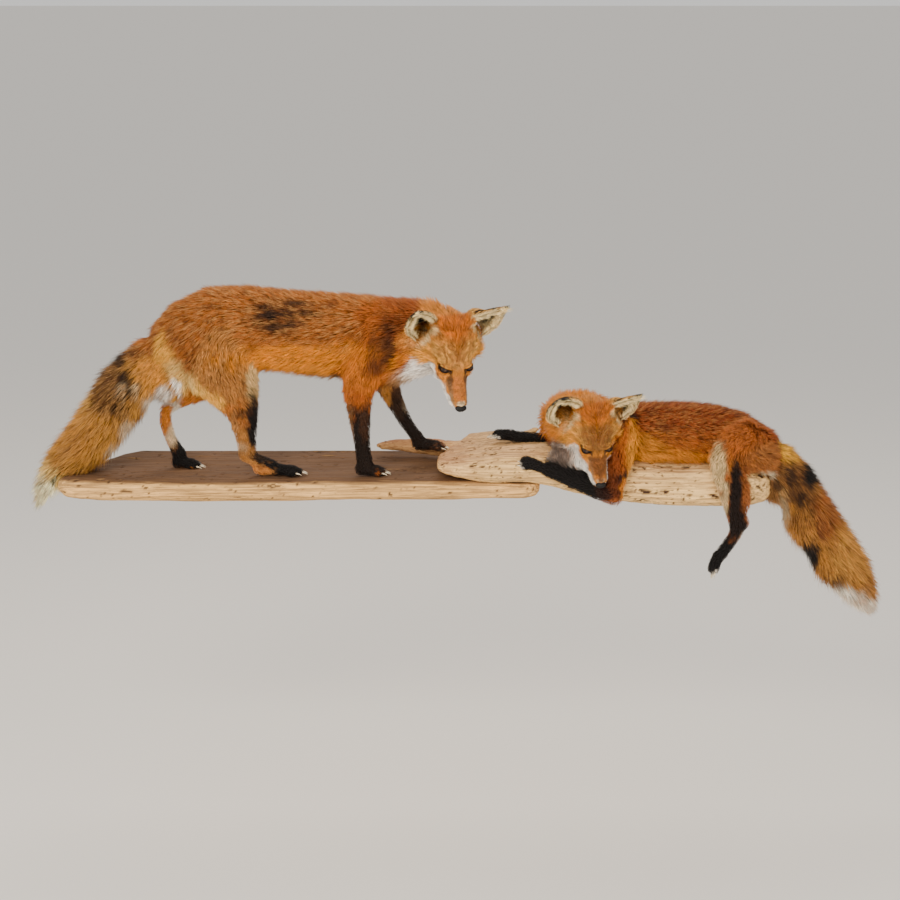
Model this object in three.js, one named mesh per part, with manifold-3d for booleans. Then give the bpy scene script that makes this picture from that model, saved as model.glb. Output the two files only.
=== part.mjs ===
// A pair of mounted red foxes on driftwood, made to hang on a wall.
//
// One fox walks along a flat driftwood board with its head low and turned to the viewer; a second,
// smaller fox lies on a thicker driftwood log that rests on the board's right end. Both pieces of
// driftwood are sawn flat at the back, and that flat back hangs on the wall.
//
// Frame, in millimetres: +X to the viewer's right, +Z up, -Y out of the wall towards the viewer.
// The wall is the plane y = 0, and the origin lies on the board's flat back.
// Every soft surface is drawn out to the tips of the coat.

import * as THREE from "three";
import { mergeVertices } from "three/addons/utils/BufferGeometryUtils.js";
import Module from "manifold-3d";

const wasm = await Module();
wasm.setup();

// ---------------------------------------------------------------- driving dimensions

const GAP = 0.35; // clearance left between neighbouring pieces
const BOARD_TOP = 23; // height of the board's walking surface
const WALKER_Y = -130; // middle plane of the walking fox
const NEAR_LEG_Y = -163; // its right legs, on the viewer's side
const FAR_LEG_Y = -104; // its left legs, on the wall's side
const RESTER_Y = -128; // middle plane of the lying fox
const EYE_RADIUS = 8.5;
const EAR_LENGTH = 84;
const EAR_HALF_WIDTH = 33;
const EAR_THICKNESS = 4;

const UP = new THREE.Vector3(0, 0, 1);
const AHEAD = new THREE.Vector3(1, 0, 0);
const OUT = new THREE.Vector3(0, -1, 0);

// ---------------------------------------------------------------- solids

function solid(geometry) {
  const bare = geometry.index ? geometry.toNonIndexed() : geometry.clone();
  bare.deleteAttribute("normal");
  bare.deleteAttribute("uv");
  const merged = mergeVertices(bare, 1e-3);
  return new wasm.Manifold(
    new wasm.Mesh({
      numProp: 3,
      vertProperties: merged.attributes.position.array,
      triVerts: new Uint32Array(merged.index.array),
    }),
  );
}

// A closed solid from rings of points. Its ends close on a pole each, or, with no poles, across a
// ring that runs out and back along a thin wall.
function ringSolid(rings, poles = []) {
  const sides = rings[0].length;
  const points = [...rings.flat(), ...poles];
  const [start, finish] = [points.length - 2, points.length - 1];
  const last = (rings.length - 1) * sides;
  const faces = [];
  for (let j = 0; j < sides; j++) {
    const next = (j + 1) % sides;
    if (poles.length) faces.push(start, next, j, finish, last + j, last + next);
    for (let a = j, b = next; a < last; a += sides, b += sides) {
      faces.push(a, b, b + sides, a, b + sides, a + sides);
    }
  }
  for (let j = 0; !poles.length && j < sides / 2 - 1; j++) {
    const [a, b, c, d] = [j, j + 1, sides - 2 - j, sides - 1 - j];
    faces.push(a, c, b, a, d, c);
    faces.push(last + a, last + b, last + c, last + a, last + c, last + d);
  }
  const geometry = new THREE.BufferGeometry().setFromPoints(points);
  geometry.setIndex(faces);
  return solid(geometry);
}

function join(pieces) {
  return pieces.reduce((whole, piece) => whole.add(piece));
}

// What is left of a piece after its neighbours are taken out of it: the largest part only.
function cut(piece, ...tools) {
  const rest = tools.reduce((left, tool) => left.subtract(tool), piece);
  return rest.decompose().reduce((most, part) => (part.volume() > most.volume() ? part : most));
}

// A closed skin over oval rings. A station is [x, y, z, side, front, back]: the ring's centre, its
// half width, and how far it reaches towards `face` and away from it. Both ends are domed.
function loft(stations, { sides = 16, face = UP, grow = 0, square = 2, dome = 0.7 } = {}) {
  const centres = stations.map((s) => new THREE.Vector3(s[0], s[1], s[2]));
  const path = new THREE.CatmullRomCurve3(centres, false, "catmullrom", 0.5);
  const last = stations.length - 1;
  const bulge = (value) => Math.sign(value) * Math.abs(value) ** (2 / square);
  const frames = stations.map(([, , , side, front, back], i) => {
    const tangent = path.getTangent(i / last);
    const ahead = face.clone().addScaledVector(tangent, -face.dot(tangent)).normalize();
    const across = new THREE.Vector3().crossVectors(ahead, tangent);
    return { tangent, ahead, across, side: side + grow, front: front + grow, back: back + grow };
  });
  const ring = (i, slide, shrink) => {
    const { tangent, ahead, across, side, front, back } = frames[i];
    const middle = centres[i].clone().addScaledVector(tangent, slide);
    return Array.from({ length: sides }, (_, j) => {
      const angle = (2 * Math.PI * j) / sides;
      const reach = Math.sin(angle) > 0 ? front : back;
      return middle
        .clone()
        .addScaledVector(across, bulge(Math.cos(angle)) * side * shrink)
        .addScaledVector(ahead, bulge(Math.sin(angle)) * reach * shrink);
    });
  };
  const depth = (i) => dome * Math.min(frames[i].side, (frames[i].front + frames[i].back) / 2);
  const [first, final] = [-depth(0), depth(last)];
  const rings = [
    ring(0, first * 0.72, 0.69),
    ...stations.map((_, i) => ring(i, 0, 1)),
    ring(last, final * 0.72, 0.69),
  ];
  const poles = [
    centres[0].clone().addScaledVector(frames[0].tangent, first),
    centres[last].clone().addScaledVector(frames[last].tangent, final),
  ];
  return ringSolid(rings, poles);
}

// An ellipsoid whose first radius lies along `along` and third along `up`.
function blob(centre, radii, { along = AHEAD, up = UP, segments = [7, 4], grow = 0 } = {}) {
  const across = new THREE.Vector3().crossVectors(up, along).normalize();
  const top = new THREE.Vector3().crossVectors(along, across).normalize();
  const size = new THREE.Vector3(...radii).addScalar(grow);
  const ball = new THREE.SphereGeometry(1, ...segments).rotateX(Math.PI / 2);
  ball.scale(size.x, size.y, size.z);
  const turn = new THREE.Matrix4().makeBasis(along.clone().normalize(), across, top);
  ball.applyMatrix4(turn.setPosition(centre));
  return solid(ball);
}

// ---------------------------------------------------------------- head

// A head's own frame: origin between the eyes, then axes towards the nose, its left and its crown.
function headFrame(origin, nose, crown, size) {
  const ahead = new THREE.Vector3(...nose).normalize();
  const left = new THREE.Vector3().crossVectors(new THREE.Vector3(...crown), ahead).normalize();
  const top = new THREE.Vector3().crossVectors(ahead, left);
  const matrix = new THREE.Matrix4().makeBasis(ahead, left, top);
  matrix.scale(new THREE.Vector3(size, size, size));
  matrix.setPosition(...origin);
  return {
    size,
    ahead,
    left,
    top,
    point: (x, y, z) => new THREE.Vector3(x, y, z).applyMatrix4(matrix),
    direction: (x, y, z) => new THREE.Vector3(x, y, z).transformDirection(matrix),
  };
}

// Skull and muzzle from nape to lip: [ahead, height, half width, rise, drop].
const SKULL = [
  [-88, -6, 40, 36, 42],
  [-72, -3, 50, 43, 50],
  [-55, 0, 54, 45, 53],
  [-38, 1, 53, 43, 49],
  [-22, 1, 46, 37, 43],
  [-9, 1, 36, 29, 36],
  [3, 0, 28, 22, 32],
  [15, -2, 22.5, 16, 28],
  [30, -5, 18, 11, 22],
  [48, -8, 15, 9, 16],
  [60, -10, 13, 8.5, 13],
  [70, -11, 11, 8, 10],
];
const JAW = [
  [-34, -26, 44, 20, 26],
  [-10, -27, 33, 15, 19],
  [14, -27, 23, 12, 14],
  [36, -26, 18.5, 11, 12],
  [52, -24, 15, 10, 9],
  [63, -22, 11, 8, 6],
];

function skull(frame, sides, grow = 0) {
  const s = frame.size;
  const [bones, jaw] = [SKULL, JAW].map((rows) =>
    rows.map(([ahead, height, ...reach]) => [
      ...frame.point(ahead, 0, height),
      ...reach.map((r) => r * s),
    ]),
  );
  const ball = { along: frame.ahead, up: frame.top, grow };
  const masses = [1, -1].flatMap((hand) => [
    blob(frame.point(-42, hand * 42, -20), [30 * s, 27 * s, 27 * s], ball), // cheek ruff
    blob(frame.point(-64, hand * 49, -12), [22 * s, 20 * s, 21 * s], ball), // root of the ear
    blob(frame.point(-8, hand * 18, 15), [13 * s, 11 * s, 8.5 * s], ball), // brow
    blob(frame.point(-2, hand * 21, -14), [22 * s, 14 * s, 15 * s], ball), // cheek below the eye
  ]);
  return join([
    loft(bones, { sides, face: frame.top, grow, dome: 0.5 }),
    loft(jaw, { sides: 8, face: frame.top, grow, square: 2.6, dome: 0.5 }),
    ...masses,
  ]);
}

function eye(frame, hand, grow = 0) {
  const radius = EYE_RADIUS * frame.size + grow;
  return blob(frame.point(4, hand * 20, 6.5), [radius, radius, radius], { segments: [8, 5] });
}

function nose(frame, grow = 0) {
  const radii = [7, 8.5, 6.5].map((r) => r * frame.size);
  return blob(frame.point(75, 0, -9), radii, { along: frame.ahead, up: frame.top, grow });
}

// A cupped ear: a curved blade narrowing to a point, open forwards.
function ear(frame, hand) {
  const root = frame.point(-63, hand * 48, 14);
  const rise = frame.direction(-0.05, hand * 0.41, 0.91);
  const opening = frame.direction(0.94, hand * -0.2, 0.14);
  opening.addScaledVector(rise, -opening.dot(rise)).normalize();
  const across = new THREE.Vector3().crossVectors(rise, opening);
  const [columns, rows] = [7, 5];
  // One closed ring of points at each height: up the inside of the cup and back along its outside.
  const rings = Array.from({ length: rows }, (_, i) => {
    const v = (i / (rows - 1)) * 1.12 - 0.12;
    const half = EAR_HALF_WIDTH * frame.size * Math.max((1 - Math.max(v, 0) ** 1.8) ** 0.85, 0.08);
    const wrap = THREE.MathUtils.degToRad(80 - 35 * v);
    const side = (back) => (_, j) => {
      const angle = wrap * ((2 * j) / (columns - 1) - 1);
      const hollow = (half * (Math.cos(angle) - Math.cos(wrap))) / Math.sin(wrap) + back;
      return root
        .clone()
        .addScaledVector(rise, EAR_LENGTH * frame.size * v)
        .addScaledVector(across, (half * Math.sin(angle)) / Math.sin(wrap))
        .addScaledVector(opening, -hollow);
    };
    const inside = Array.from({ length: columns }, side(0));
    const outside = Array.from({ length: columns }, side(EAR_THICKNESS)).reverse();
    return [...inside, ...outside];
  });
  return ringSolid(rings);
}

// ---------------------------------------------------------------- paws

// A paw from the wrist or the ball of the foot to the claws, lying along `ahead`.
function paw(heel, ahead, up, { length = 44, width = 17, toes = true } = {}) {
  const across = new THREE.Vector3().crossVectors(up, ahead).normalize();
  const place = (x, y, z) =>
    new THREE.Vector3(...heel)
      .addScaledVector(ahead, x)
      .addScaledVector(across, y)
      .addScaledVector(up, z);
  const pads = [
    [0, 13, 0.75, 12],
    [0.3, 12, 0.9, 12],
    [toes ? 0.62 : 0.85, 10.5, toes ? 1 : 0.85, 10],
  ].map(([share, height, wide, thick]) => [
    ...place(share * length, 0, height),
    wide * width,
    thick,
    height,
  ]);
  const pieces = [loft(pads, { sides: 7, face: up, dome: 0.8 })];
  for (const finger of toes ? [-1.5, -0.5, 0.5, 1.5] : []) {
    const reach = length * (Math.abs(finger) < 1 ? 0.84 : 0.7);
    const side = finger * width * 0.56;
    const thick = width * 0.4;
    const toe = { along: ahead, up, segments: [6, 3] };
    pieces.push(blob(place(reach, side, thick + 1), [thick * 1.7, thick, thick * 1.05], toe));
    const claw = new THREE.ConeGeometry(2, 12, 4).rotateZ(-Math.PI / 2);
    const basis = new THREE.Matrix4().makeBasis(ahead, across, up);
    claw.applyMatrix4(basis.setPosition(place(reach + thick * 1.9, side, thick * 0.8)));
    pieces.push(solid(claw));
  }
  return join(pieces);
}

// ---------------------------------------------------------------- driftwood

const WALL_BLOCK = solid(new THREE.BoxGeometry(2400, 400, 1200).translate(0, 200, 0));

// A slab of driftwood along X. A station is [x, front y, back y, bottom z, top z, rise at the back].
function slab(stations, { corners = 14, grow = 0, roundness = 5 } = {}) {
  const corner = (value) => Math.sign(value) * Math.abs(value) ** (2 / roundness);
  const rings = stations.map(([x, front, back, bottom, top, rise]) =>
    Array.from({ length: corners }, (_, j) => {
      const angle = (2 * Math.PI * (j + 0.5)) / corners;
      const y = (front + back) / 2 + ((back - front) / 2 + grow) * corner(Math.cos(angle));
      const swell = Math.sin(angle) > 0 ? rise * THREE.MathUtils.smoothstep(y, -120, -10) : 0;
      const half = (top - bottom) / 2 + grow;
      return new THREE.Vector3(x, y, (bottom + top) / 2 + half * corner(Math.sin(angle)) + swell);
    }),
  );
  const poles = [rings[0], rings[rings.length - 1]].map((ring, end) => {
    const sum = ring.reduce((total, point) => total.add(point), new THREE.Vector3());
    return sum.divideScalar(corners).addScaledVector(AHEAD, (end ? 1 : -1) * (2 + grow));
  });
  return ringSolid(rings, poles);
}

// Flat, water-worn board: thin at both ends, a little thicker along the wall.
const BOARD = [
  [-735, -196, -160, 0, 18, 0],
  [-722, -204, -128, -12, 24, 4],
  [-695, -207, -84, -17, 25, 8],
  [-640, -208, -10, -21, 25, 12],
  [-590, -209, 40, -22, 25, 14],
  [-500, -208, 40, -24, BOARD_TOP, 16],
  [-380, -207, 40, -23, BOARD_TOP, 16],
  [-250, -205, 40, -21, BOARD_TOP, 16],
  [-120, -206, 40, -20, BOARD_TOP, 15],
  [-20, -205, 40, -21, BOARD_TOP, 14],
  [70, -203, 40, -19, BOARD_TOP, 12],
  [140, -200, 40, -19, 22, 12],
  [162, -192, 40, -16, 20, 10],
  [170, -180, 40, -6, 12, 6],
];

// Thicker, gnarled log: it swells in the middle, hangs below the board and tapers to the right.
const LOG = [
  [-22, -206, -120, 42, 54, 0],
  [-10, -214, -80, 32, 59, 0],
  [40, -220, 30, 18, 68, 6],
  [95, -221, 40, 9, 76, 4],
  [150, -218, 40, 7, 78, 0],
  [205, -216, 40, -4, 76, 0],
  [280, -214, 40, -22, 66, 0],
  [355, -212, 40, -34, 54, 0],
  [430, -211, 40, -39, 50, 0],
  [505, -209, 40, -40, 50, 0],
  [560, -205, 30, -39, 46, 0],
  [594, -190, 10, -32, 36, 0],
  [610, -168, -20, -14, 22, 0],
];

// The weathered stubs of two side roots on the log.
const BACK_ROOT = [
  [-141, -30, 53, 6, 6, 6],
  [-104, -34, 55, 11, 11, 11],
  [-45, -44, 54, 14, 14, 15],
  [30, -62, 50, 22, 20, 22],
];
const CROWN_ROOT = [
  [96, -72, 64, 16, 16, 16],
  [136, -62, 78, 10, 9, 10],
  [168, -52, 90, 4, 3, 4],
];

function board(grow = 0) {
  return slab(BOARD, { grow }).subtract(WALL_BLOCK);
}

function log(grow = 0) {
  const roots = [BACK_ROOT, CROWN_ROOT].map((root) => loft(root, { sides: 7, grow }));
  const body = slab(LOG, { grow, roundness: 3.2 });
  return cut(join([body, ...roots]), WALL_BLOCK, board(GAP + grow));
}

// ---------------------------------------------------------------- the walking fox

const WALKER_HEAD = headFrame(
  [8.6, -215, 240],
  [0.184, -0.47, -0.863],
  [0.279, -0.817, 0.505],
  1.06,
);

const WALKER_TRUNK = [
  [-548, WALKER_Y, 246, 38, 30, 44],
  [-526, WALKER_Y, 260, 53, 56, 70],
  [-490, WALKER_Y, 284, 63, 70, 88],
  [-440, WALKER_Y, 300, 67, 79, 88],
  [-380, WALKER_Y, 302, 65, 78, 76],
  [-320, WALKER_Y, 296, 64, 78, 72],
  [-260, WALKER_Y, 290, 66, 79, 74],
  [-200, WALKER_Y, 286, 68, 79, 78],
  [-150, WALKER_Y, 283, 66, 79, 84],
  [-110, WALKER_Y, 280, 58, 76, 84],
  [-82, WALKER_Y - 4, 278, 44, 62, 68],
];

const WALKER_NECK = [
  [-150, -133, 286, 60, 72, 82],
  [-100, -140, 288, 57, 70, 88],
  [-55, -152, 290, 48, 68, 84],
  [-18, -168, 286, 40, 65, 68],
];

const WALKER_TAIL = [
  [-518, WALKER_Y, 266, 30, 40, 34],
  [-549, -131, 241, 39, 54, 44],
  [-581, -132, 207, 45, 61, 48],
  [-612, -134, 171, 48, 62, 50],
  [-645, -136, 128, 49, 60, 50],
  [-682, -138, 84, 46, 54, 50],
  [-720, -140, 50, 40, 45, 44],
  [-752, -141, 20, 30, 31, 30],
  [-772, -142, -8, 18, 18, 18],
  [-781, -142, -32, 7, 6, 7],
];

// Legs run from the body down; their front and back reach lie along the fox.
const NEAR_THIGH = [
  [-425, -148, 296, 42, 58, 74],
  [-428, -156, 250, 47, 74, 78],
  [-420, -162, 214, 43, 72, 73],
  [-402, -166, 180, 34, 49, 50],
  [-389, -165, 145, 24, 31, 31],
  [-385, -164, 110, 17, 23, 24],
  [-383, NEAR_LEG_Y, 82, 14, 20, 19],
  [-385, NEAR_LEG_Y, 60, 14, 19, 16],
];
const NEAR_HIND_FOOT = [
  [-390, NEAR_LEG_Y, 62, 13, 12, 12],
  [-365, NEAR_LEG_Y, 52, 14, 14, 13],
  [-335, NEAR_LEG_Y, 41, 15, 13, 13],
];
const FAR_THIGH = [
  [-440, -108, 250, 36, 56, 60],
  [-450, -104, 205, 34, 50, 56],
  [-480, -102, 178, 25, 27, 36],
  [-514, -102, 158, 18, 17, 20],
  [-541, -103, 141, 14, 15, 15],
];
const FAR_HIND_SHANK = [
  [-543, -103, 144, 13, 15, 13],
  [-544, -104, 115, 13, 15, 13],
  [-535, FAR_LEG_Y, 85, 12, 13, 12],
  [-525, FAR_LEG_Y, 62, 14, 15, 12],
  [-518, FAR_LEG_Y, 48, 15, 16, 12],
];
const NEAR_FORELEG = [
  [-142, -150, 308, 36, 42, 45],
  [-150, -158, 262, 42, 48, 50],
  [-165, -164, 215, 36, 42, 41],
  [-172, -165, 180, 26, 30, 30],
  [-170, -165, 145, 19, 21, 23],
  [-167, -164, 110, 16, 18, 19],
  [-165, NEAR_LEG_Y, 76, 14, 16, 16],
  [-162, NEAR_LEG_Y, 46, 15, 17, 14],
];
const FAR_FORELEG = [
  [-126, -98, 270, 34, 36, 38],
  [-130, -92, 220, 31, 34, 34],
  [-118, -87, 180, 22, 22, 24],
  [-103, -84, 146, 16, 17, 17],
  [-88, -82, 116, 14, 14, 15],
  [-73, -80, 92, 12.5, 13, 13],
  [-60, -79, 74, 13, 13, 12],
];

const wood = board();
const rootwood = log();
const woodTools = [board(GAP), log(GAP)];

function walker() {
  const limb = (stations, sides, grow) => loft(stations, { sides, face: AHEAD, grow });
  const body = (grow) => loft(WALKER_TRUNK, { sides: 18, grow });
  const neck = (grow) => loft(WALKER_NECK, { sides: 16, grow });
  const brush = (grow) => loft(WALKER_TAIL, { sides: 14, grow });
  const legs = {
    hind_right: (grow) => join([limb(NEAR_THIGH, 12, grow), limb(NEAR_HIND_FOOT, 8, grow)]),
    hind_left: (grow) => join([limb(FAR_THIGH, 10, grow), limb(FAR_HIND_SHANK, 8, grow)]),
    fore_right: (grow) => limb(NEAR_FORELEG, 10, grow),
    fore_left: (grow) => limb(FAR_FORELEG, 10, grow),
  };
  const foot = (x, y, z, length, width) => paw([x, y, z], AHEAD, UP, { length, width });
  const feet = {
    hind_right: foot(-352, NEAR_LEG_Y, BOARD_TOP + GAP, 76, 17),
    hind_left: foot(-522, FAR_LEG_Y, BOARD_TOP + GAP, 42, 16),
    fore_right: foot(-168, NEAR_LEG_Y, BOARD_TOP + GAP, 44, 17),
    fore_left: foot(-60, -79, 54, 50, 16),
  };
  const face = skull(WALKER_HEAD, 16, GAP);
  const sockets = [eye(WALKER_HEAD, 1, GAP), eye(WALKER_HEAD, -1, GAP), nose(WALKER_HEAD, GAP)];
  const nodes = {
    fox_trunk: body(0),
    fox_neck: cut(neck(0), body(GAP)),
    fox_head: cut(skull(WALKER_HEAD, 16), neck(GAP), body(GAP), ...sockets),
    fox_nose: nose(WALKER_HEAD),
    fox_eye_left: eye(WALKER_HEAD, 1),
    fox_eye_right: eye(WALKER_HEAD, -1),
    fox_ear_left: cut(ear(WALKER_HEAD, 1), face, neck(GAP)),
    fox_ear_right: cut(ear(WALKER_HEAD, -1), face, neck(GAP)),
    fox_tail: cut(brush(0), body(GAP), ...woodTools),
  };
  const taken = [body(GAP), neck(GAP), brush(GAP), ...woodTools];
  for (const [place, leg] of Object.entries(legs)) {
    nodes[`fox_${place}_leg`] = cut(leg(0), ...taken);
    nodes[`fox_${place}_paw`] = cut(feet[place], leg(GAP), ...woodTools);
    taken.push(leg(GAP));
  }
  return nodes;
}

// ---------------------------------------------------------------- the lying fox

const RESTER_HEAD = headFrame(
  [270.3, -230, 90],
  [0.135, -0.521, -0.843],
  [0.127, -0.835, 0.536],
  0.943,
);

const RESTER_TRUNK = [
  [602, RESTER_Y, 70, 36, 28, 48],
  [580, RESTER_Y, 82, 48, 36, 60],
  [545, RESTER_Y, 94, 58, 46, 56],
  [495, RESTER_Y, 100, 62, 54, 58],
  [435, RESTER_Y - 2, 102, 63, 57, 62],
  [370, RESTER_Y - 4, 102, 64, 57, 62],
  [310, RESTER_Y - 8, 100, 62, 55, 56],
  [256, RESTER_Y - 10, 96, 54, 50, 46],
  [216, RESTER_Y - 12, 88, 40, 40, 36],
];
const RESTER_NECK = [
  [300, -140, 108, 52, 54, 50],
  [250, -148, 124, 60, 58, 56],
  [222, -164, 128, 66, 57, 58],
  [230, -178, 132, 56, 50, 54],
];
const RESTER_HAUNCH = [
  [528, -180, 84, 24, 30, 30],
  [562, -178, 66, 32, 40, 44],
  [594, -168, 54, 30, 34, 42],
];
const RESTER_TAIL = [
  [588, RESTER_Y, 80, 30, 20, 30],
  [622, -134, 60, 44, 26, 42],
  [652, -136, 16, 46, 38, 50],
  [684, -132, -50, 45, 49, 48],
  [722, -126, -116, 45, 55, 48],
  [764, -119, -176, 42, 52, 46],
  [798, -114, -220, 32, 30, 38],
  [812, -112, -246, 16, 16, 20],
];
const RESTER_ARM = [
  [330, -165, 112, 34, 36, 40],
  [320, -190, 76, 32, 28, 36],
  [312, -212, 34, 26, 20, 28],
  [304, -222, 2, 21, 16, 20],
];
const RESTER_FOREARM = [
  [310, -224, -4, 19, 19, 18],
  [268, -230, 12, 18, 19, 19],
  [222, -228, 31, 15, 16, 16],
  [178, -220, 47, 14, 13, 14],
];
const RESTER_FAR_FOREARM = [
  [215, -112, 84, 18, 18, 16],
  [170, -114, 85, 14, 13, 13],
  [122, -117, 88, 13, 12, 12],
];
const RESTER_THIGH = [
  [560, -160, 100, 36, 44, 46],
  [535, -176, 88, 38, 50, 42],
  [514, -192, 62, 30, 38, 38],
  [514, -206, 28, 23, 27, 28],
  [522, -213, -6, 19, 21, 20],
  [531, -216, -40, 15, 17, 16],
  [537, -217, -66, 13, 16, 15],
];
const RESTER_SHANK = [
  [540, -217, -68, 12, 14, 14],
  [524, -217, -94, 12, 14, 13],
  [506, -216, -120, 12, 13, 12],
];
const RESTER_FAR_THIGH = [
  [560, -92, 92, 34, 40, 40],
  [510, -76, 82, 28, 28, 30],
  [470, -70, 72, 18, 17, 18],
  [430, -66, 66, 15, 13, 13],
];

// Two directions squared up for a paw: along the foot, and out of its top.
function footAxes(along, top) {
  const ahead = new THREE.Vector3(...along).normalize();
  const up = new THREE.Vector3(...top);
  return [ahead, up.addScaledVector(ahead, -up.dot(ahead)).normalize()];
}

function rester() {
  const head = RESTER_HEAD;
  const plain = { width: 14, length: 34, toes: false };
  return cut(
    join([
      loft(RESTER_TRUNK, { sides: 12 }),
      loft(RESTER_NECK, { sides: 12 }),
      blob(new THREE.Vector3(236, -182, 72), [48, 36, 38]), // chest
      loft(RESTER_HAUNCH, { sides: 8 }),
      skull(head, 12),
      nose(head),
      eye(head, 1),
      eye(head, -1),
      ear(head, 1),
      ear(head, -1),
      loft(RESTER_TAIL, { sides: 10, face: AHEAD }),
      loft(RESTER_ARM, { sides: 8, face: AHEAD }),
      loft(RESTER_FOREARM, { sides: 8, face: OUT }),
      loft(RESTER_FAR_FOREARM, { sides: 8 }),
      loft(RESTER_THIGH, { sides: 8, face: AHEAD }),
      loft(RESTER_SHANK, { sides: 8, face: AHEAD }),
      loft(RESTER_FAR_THIGH, { sides: 6 }),
      paw([163, -210, 44], ...footAxes([-0.92, 0.14, 0.4], [0.3, -0.72, 0.64]), plain),
      paw([116, -117, 79], ...footAxes([-0.98, -0.05, 0.15], [0, 0, 1]), plain),
      paw([516, -213, -126], ...footAxes([-0.48, 0, -0.88], [-0.88, -0.1, 0.48]), plain),
      paw([436, -66, 54], ...footAxes([-1, 0, 0], [0, 0, 1]), plain),
    ]),
    ...woodTools,
  );
}

// ---------------------------------------------------------------- the part

const COATS = {
  red: { color: 0xa85a22, roughness: 0.85, metalness: 0 },
  socks: { color: 0x1d1815, roughness: 0.85, metalness: 0 },
  brush: { color: 0xa9793f, roughness: 0.9, metalness: 0 },
  leather: { color: 0x141414, roughness: 0.4, metalness: 0 },
  glass: { color: 0x1a0f06, roughness: 0.08, metalness: 0 },
  pale: { color: 0xc8ad7f, roughness: 0.8, metalness: 0 },
  bleached: { color: 0xd3b48c, roughness: 0.85, metalness: 0 },
};

function coatOf(name) {
  if (name.includes("eye")) return "glass";
  if (name.includes("nose")) return "leather";
  if (name.includes("paw")) return "socks";
  return name.includes("tail") ? "brush" : "red";
}

function mesh(name, piece, coat) {
  const { numProp, vertProperties, triVerts, numVert } = piece.getMesh();
  const places = new Float32Array(numVert * 3);
  for (let i = 0; i < numVert; i++) {
    places.set(vertProperties.subarray(i * numProp, i * numProp + 3), i * 3);
  }
  const geometry = new THREE.BufferGeometry();
  geometry.setAttribute("position", new THREE.BufferAttribute(places, 3));
  geometry.setIndex(new THREE.BufferAttribute(triVerts, 1));
  const made = new THREE.Mesh(geometry, new THREE.MeshStandardMaterial(COATS[coat]));
  made.name = name;
  return made;
}

const foxes = new THREE.Group();
foxes.add(mesh("driftwood_board", wood, "pale"));
foxes.add(mesh("driftwood_log", rootwood, "bleached"));
for (const [name, piece] of Object.entries(walker())) {
  foxes.add(mesh(name, piece, coatOf(name)));
}
foxes.add(mesh("second_fox", rester(), "red"));

export default foxes;
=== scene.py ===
"""Two mounted red foxes on driftwood: their looks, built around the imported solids.

Lengths are in metres in the solids' own frame: +X along the wall, +Z up, -Y out of the wall.
Tables of places on the animals are in millimetres and are multiplied by MM where they are used.
"""

import math

import bmesh
import bpy
import numpy as np
from mathutils import Matrix, Vector


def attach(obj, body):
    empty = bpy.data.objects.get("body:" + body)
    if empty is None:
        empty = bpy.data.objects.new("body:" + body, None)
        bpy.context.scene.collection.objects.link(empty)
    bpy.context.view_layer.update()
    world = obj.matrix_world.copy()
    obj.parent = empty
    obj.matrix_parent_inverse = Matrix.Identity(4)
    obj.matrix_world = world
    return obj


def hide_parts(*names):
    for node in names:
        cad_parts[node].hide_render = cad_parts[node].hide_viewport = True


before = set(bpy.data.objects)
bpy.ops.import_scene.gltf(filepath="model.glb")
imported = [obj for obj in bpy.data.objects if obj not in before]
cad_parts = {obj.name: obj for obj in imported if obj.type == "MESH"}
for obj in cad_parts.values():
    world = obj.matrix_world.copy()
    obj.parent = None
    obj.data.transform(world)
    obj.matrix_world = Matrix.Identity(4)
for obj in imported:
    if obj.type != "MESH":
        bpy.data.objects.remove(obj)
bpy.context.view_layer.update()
MM = 0.001


# ------------------------------------------------------------------------------------- camera
# A long lens four metres away and a little above, level with the board's middle.

camera_lens = bpy.data.cameras.new("camera")
camera_lens.lens = 84.2
camera = bpy.data.objects.new("camera", camera_lens)
camera.location = (0.0, -4.0426, 0.8966)
camera.rotation_euler = (math.radians(78), 0, 0)
bpy.context.scene.collection.objects.link(camera)
bpy.context.scene.camera = camera


# ------------------------------------------------------------------------------------- studio
# A pale painted floor well below the mount, a pale sky and three soft lamps.

FLOOR_Z = -0.62
FLOOR_LEFT, FLOOR_RIGHT, FLOOR_NEAR, FLOOR_FAR = -900, 900, -20, 2500  # out to the horizon
FLOOR_COLOUR = "#E4E0DA"
SKY_COLOUR = "#F3F1EE"
LAMP_COLOUR = "#FFF3E4"
MOUNT_MIDDLE = Vector((0, -0.13, 0.1))  # what the lamps are aimed at


def linear(code):
    """An sRGB hex colour as the linear numbers that shaders take."""
    shares = (int(code[i : i + 2], 16) / 255 for i in (1, 3, 5))
    return tuple(s / 12.92 if s <= 0.04045 else ((s + 0.055) / 1.055) ** 2.4 for s in shares)


def add_node(tree, kind, inputs=None, **settings):
    """A node with its settings. Its sockets take values, other sockets, or nodes, whose first
    working output is linked."""
    node = tree.nodes.new(kind)
    for name, value in settings.items():
        setattr(node, name, value)
    for socket, value in (inputs or {}).items():
        if isinstance(value, bpy.types.Node):
            value = next(out for out in value.outputs if out.enabled)
        if isinstance(value, bpy.types.NodeSocket):
            tree.links.new(value, node.inputs[socket])
        else:
            node.inputs[socket].default_value = value
    return node


def finish_of(name):
    """A new material, its node tree and its Principled shader."""
    material = bpy.data.materials.new(name)
    material.use_nodes = True
    return material, material.node_tree, material.node_tree.nodes["Principled BSDF"]


def place(name, mesh):
    made = bpy.data.objects.new(name, mesh)
    bpy.context.scene.collection.objects.link(made)
    return made


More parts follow.
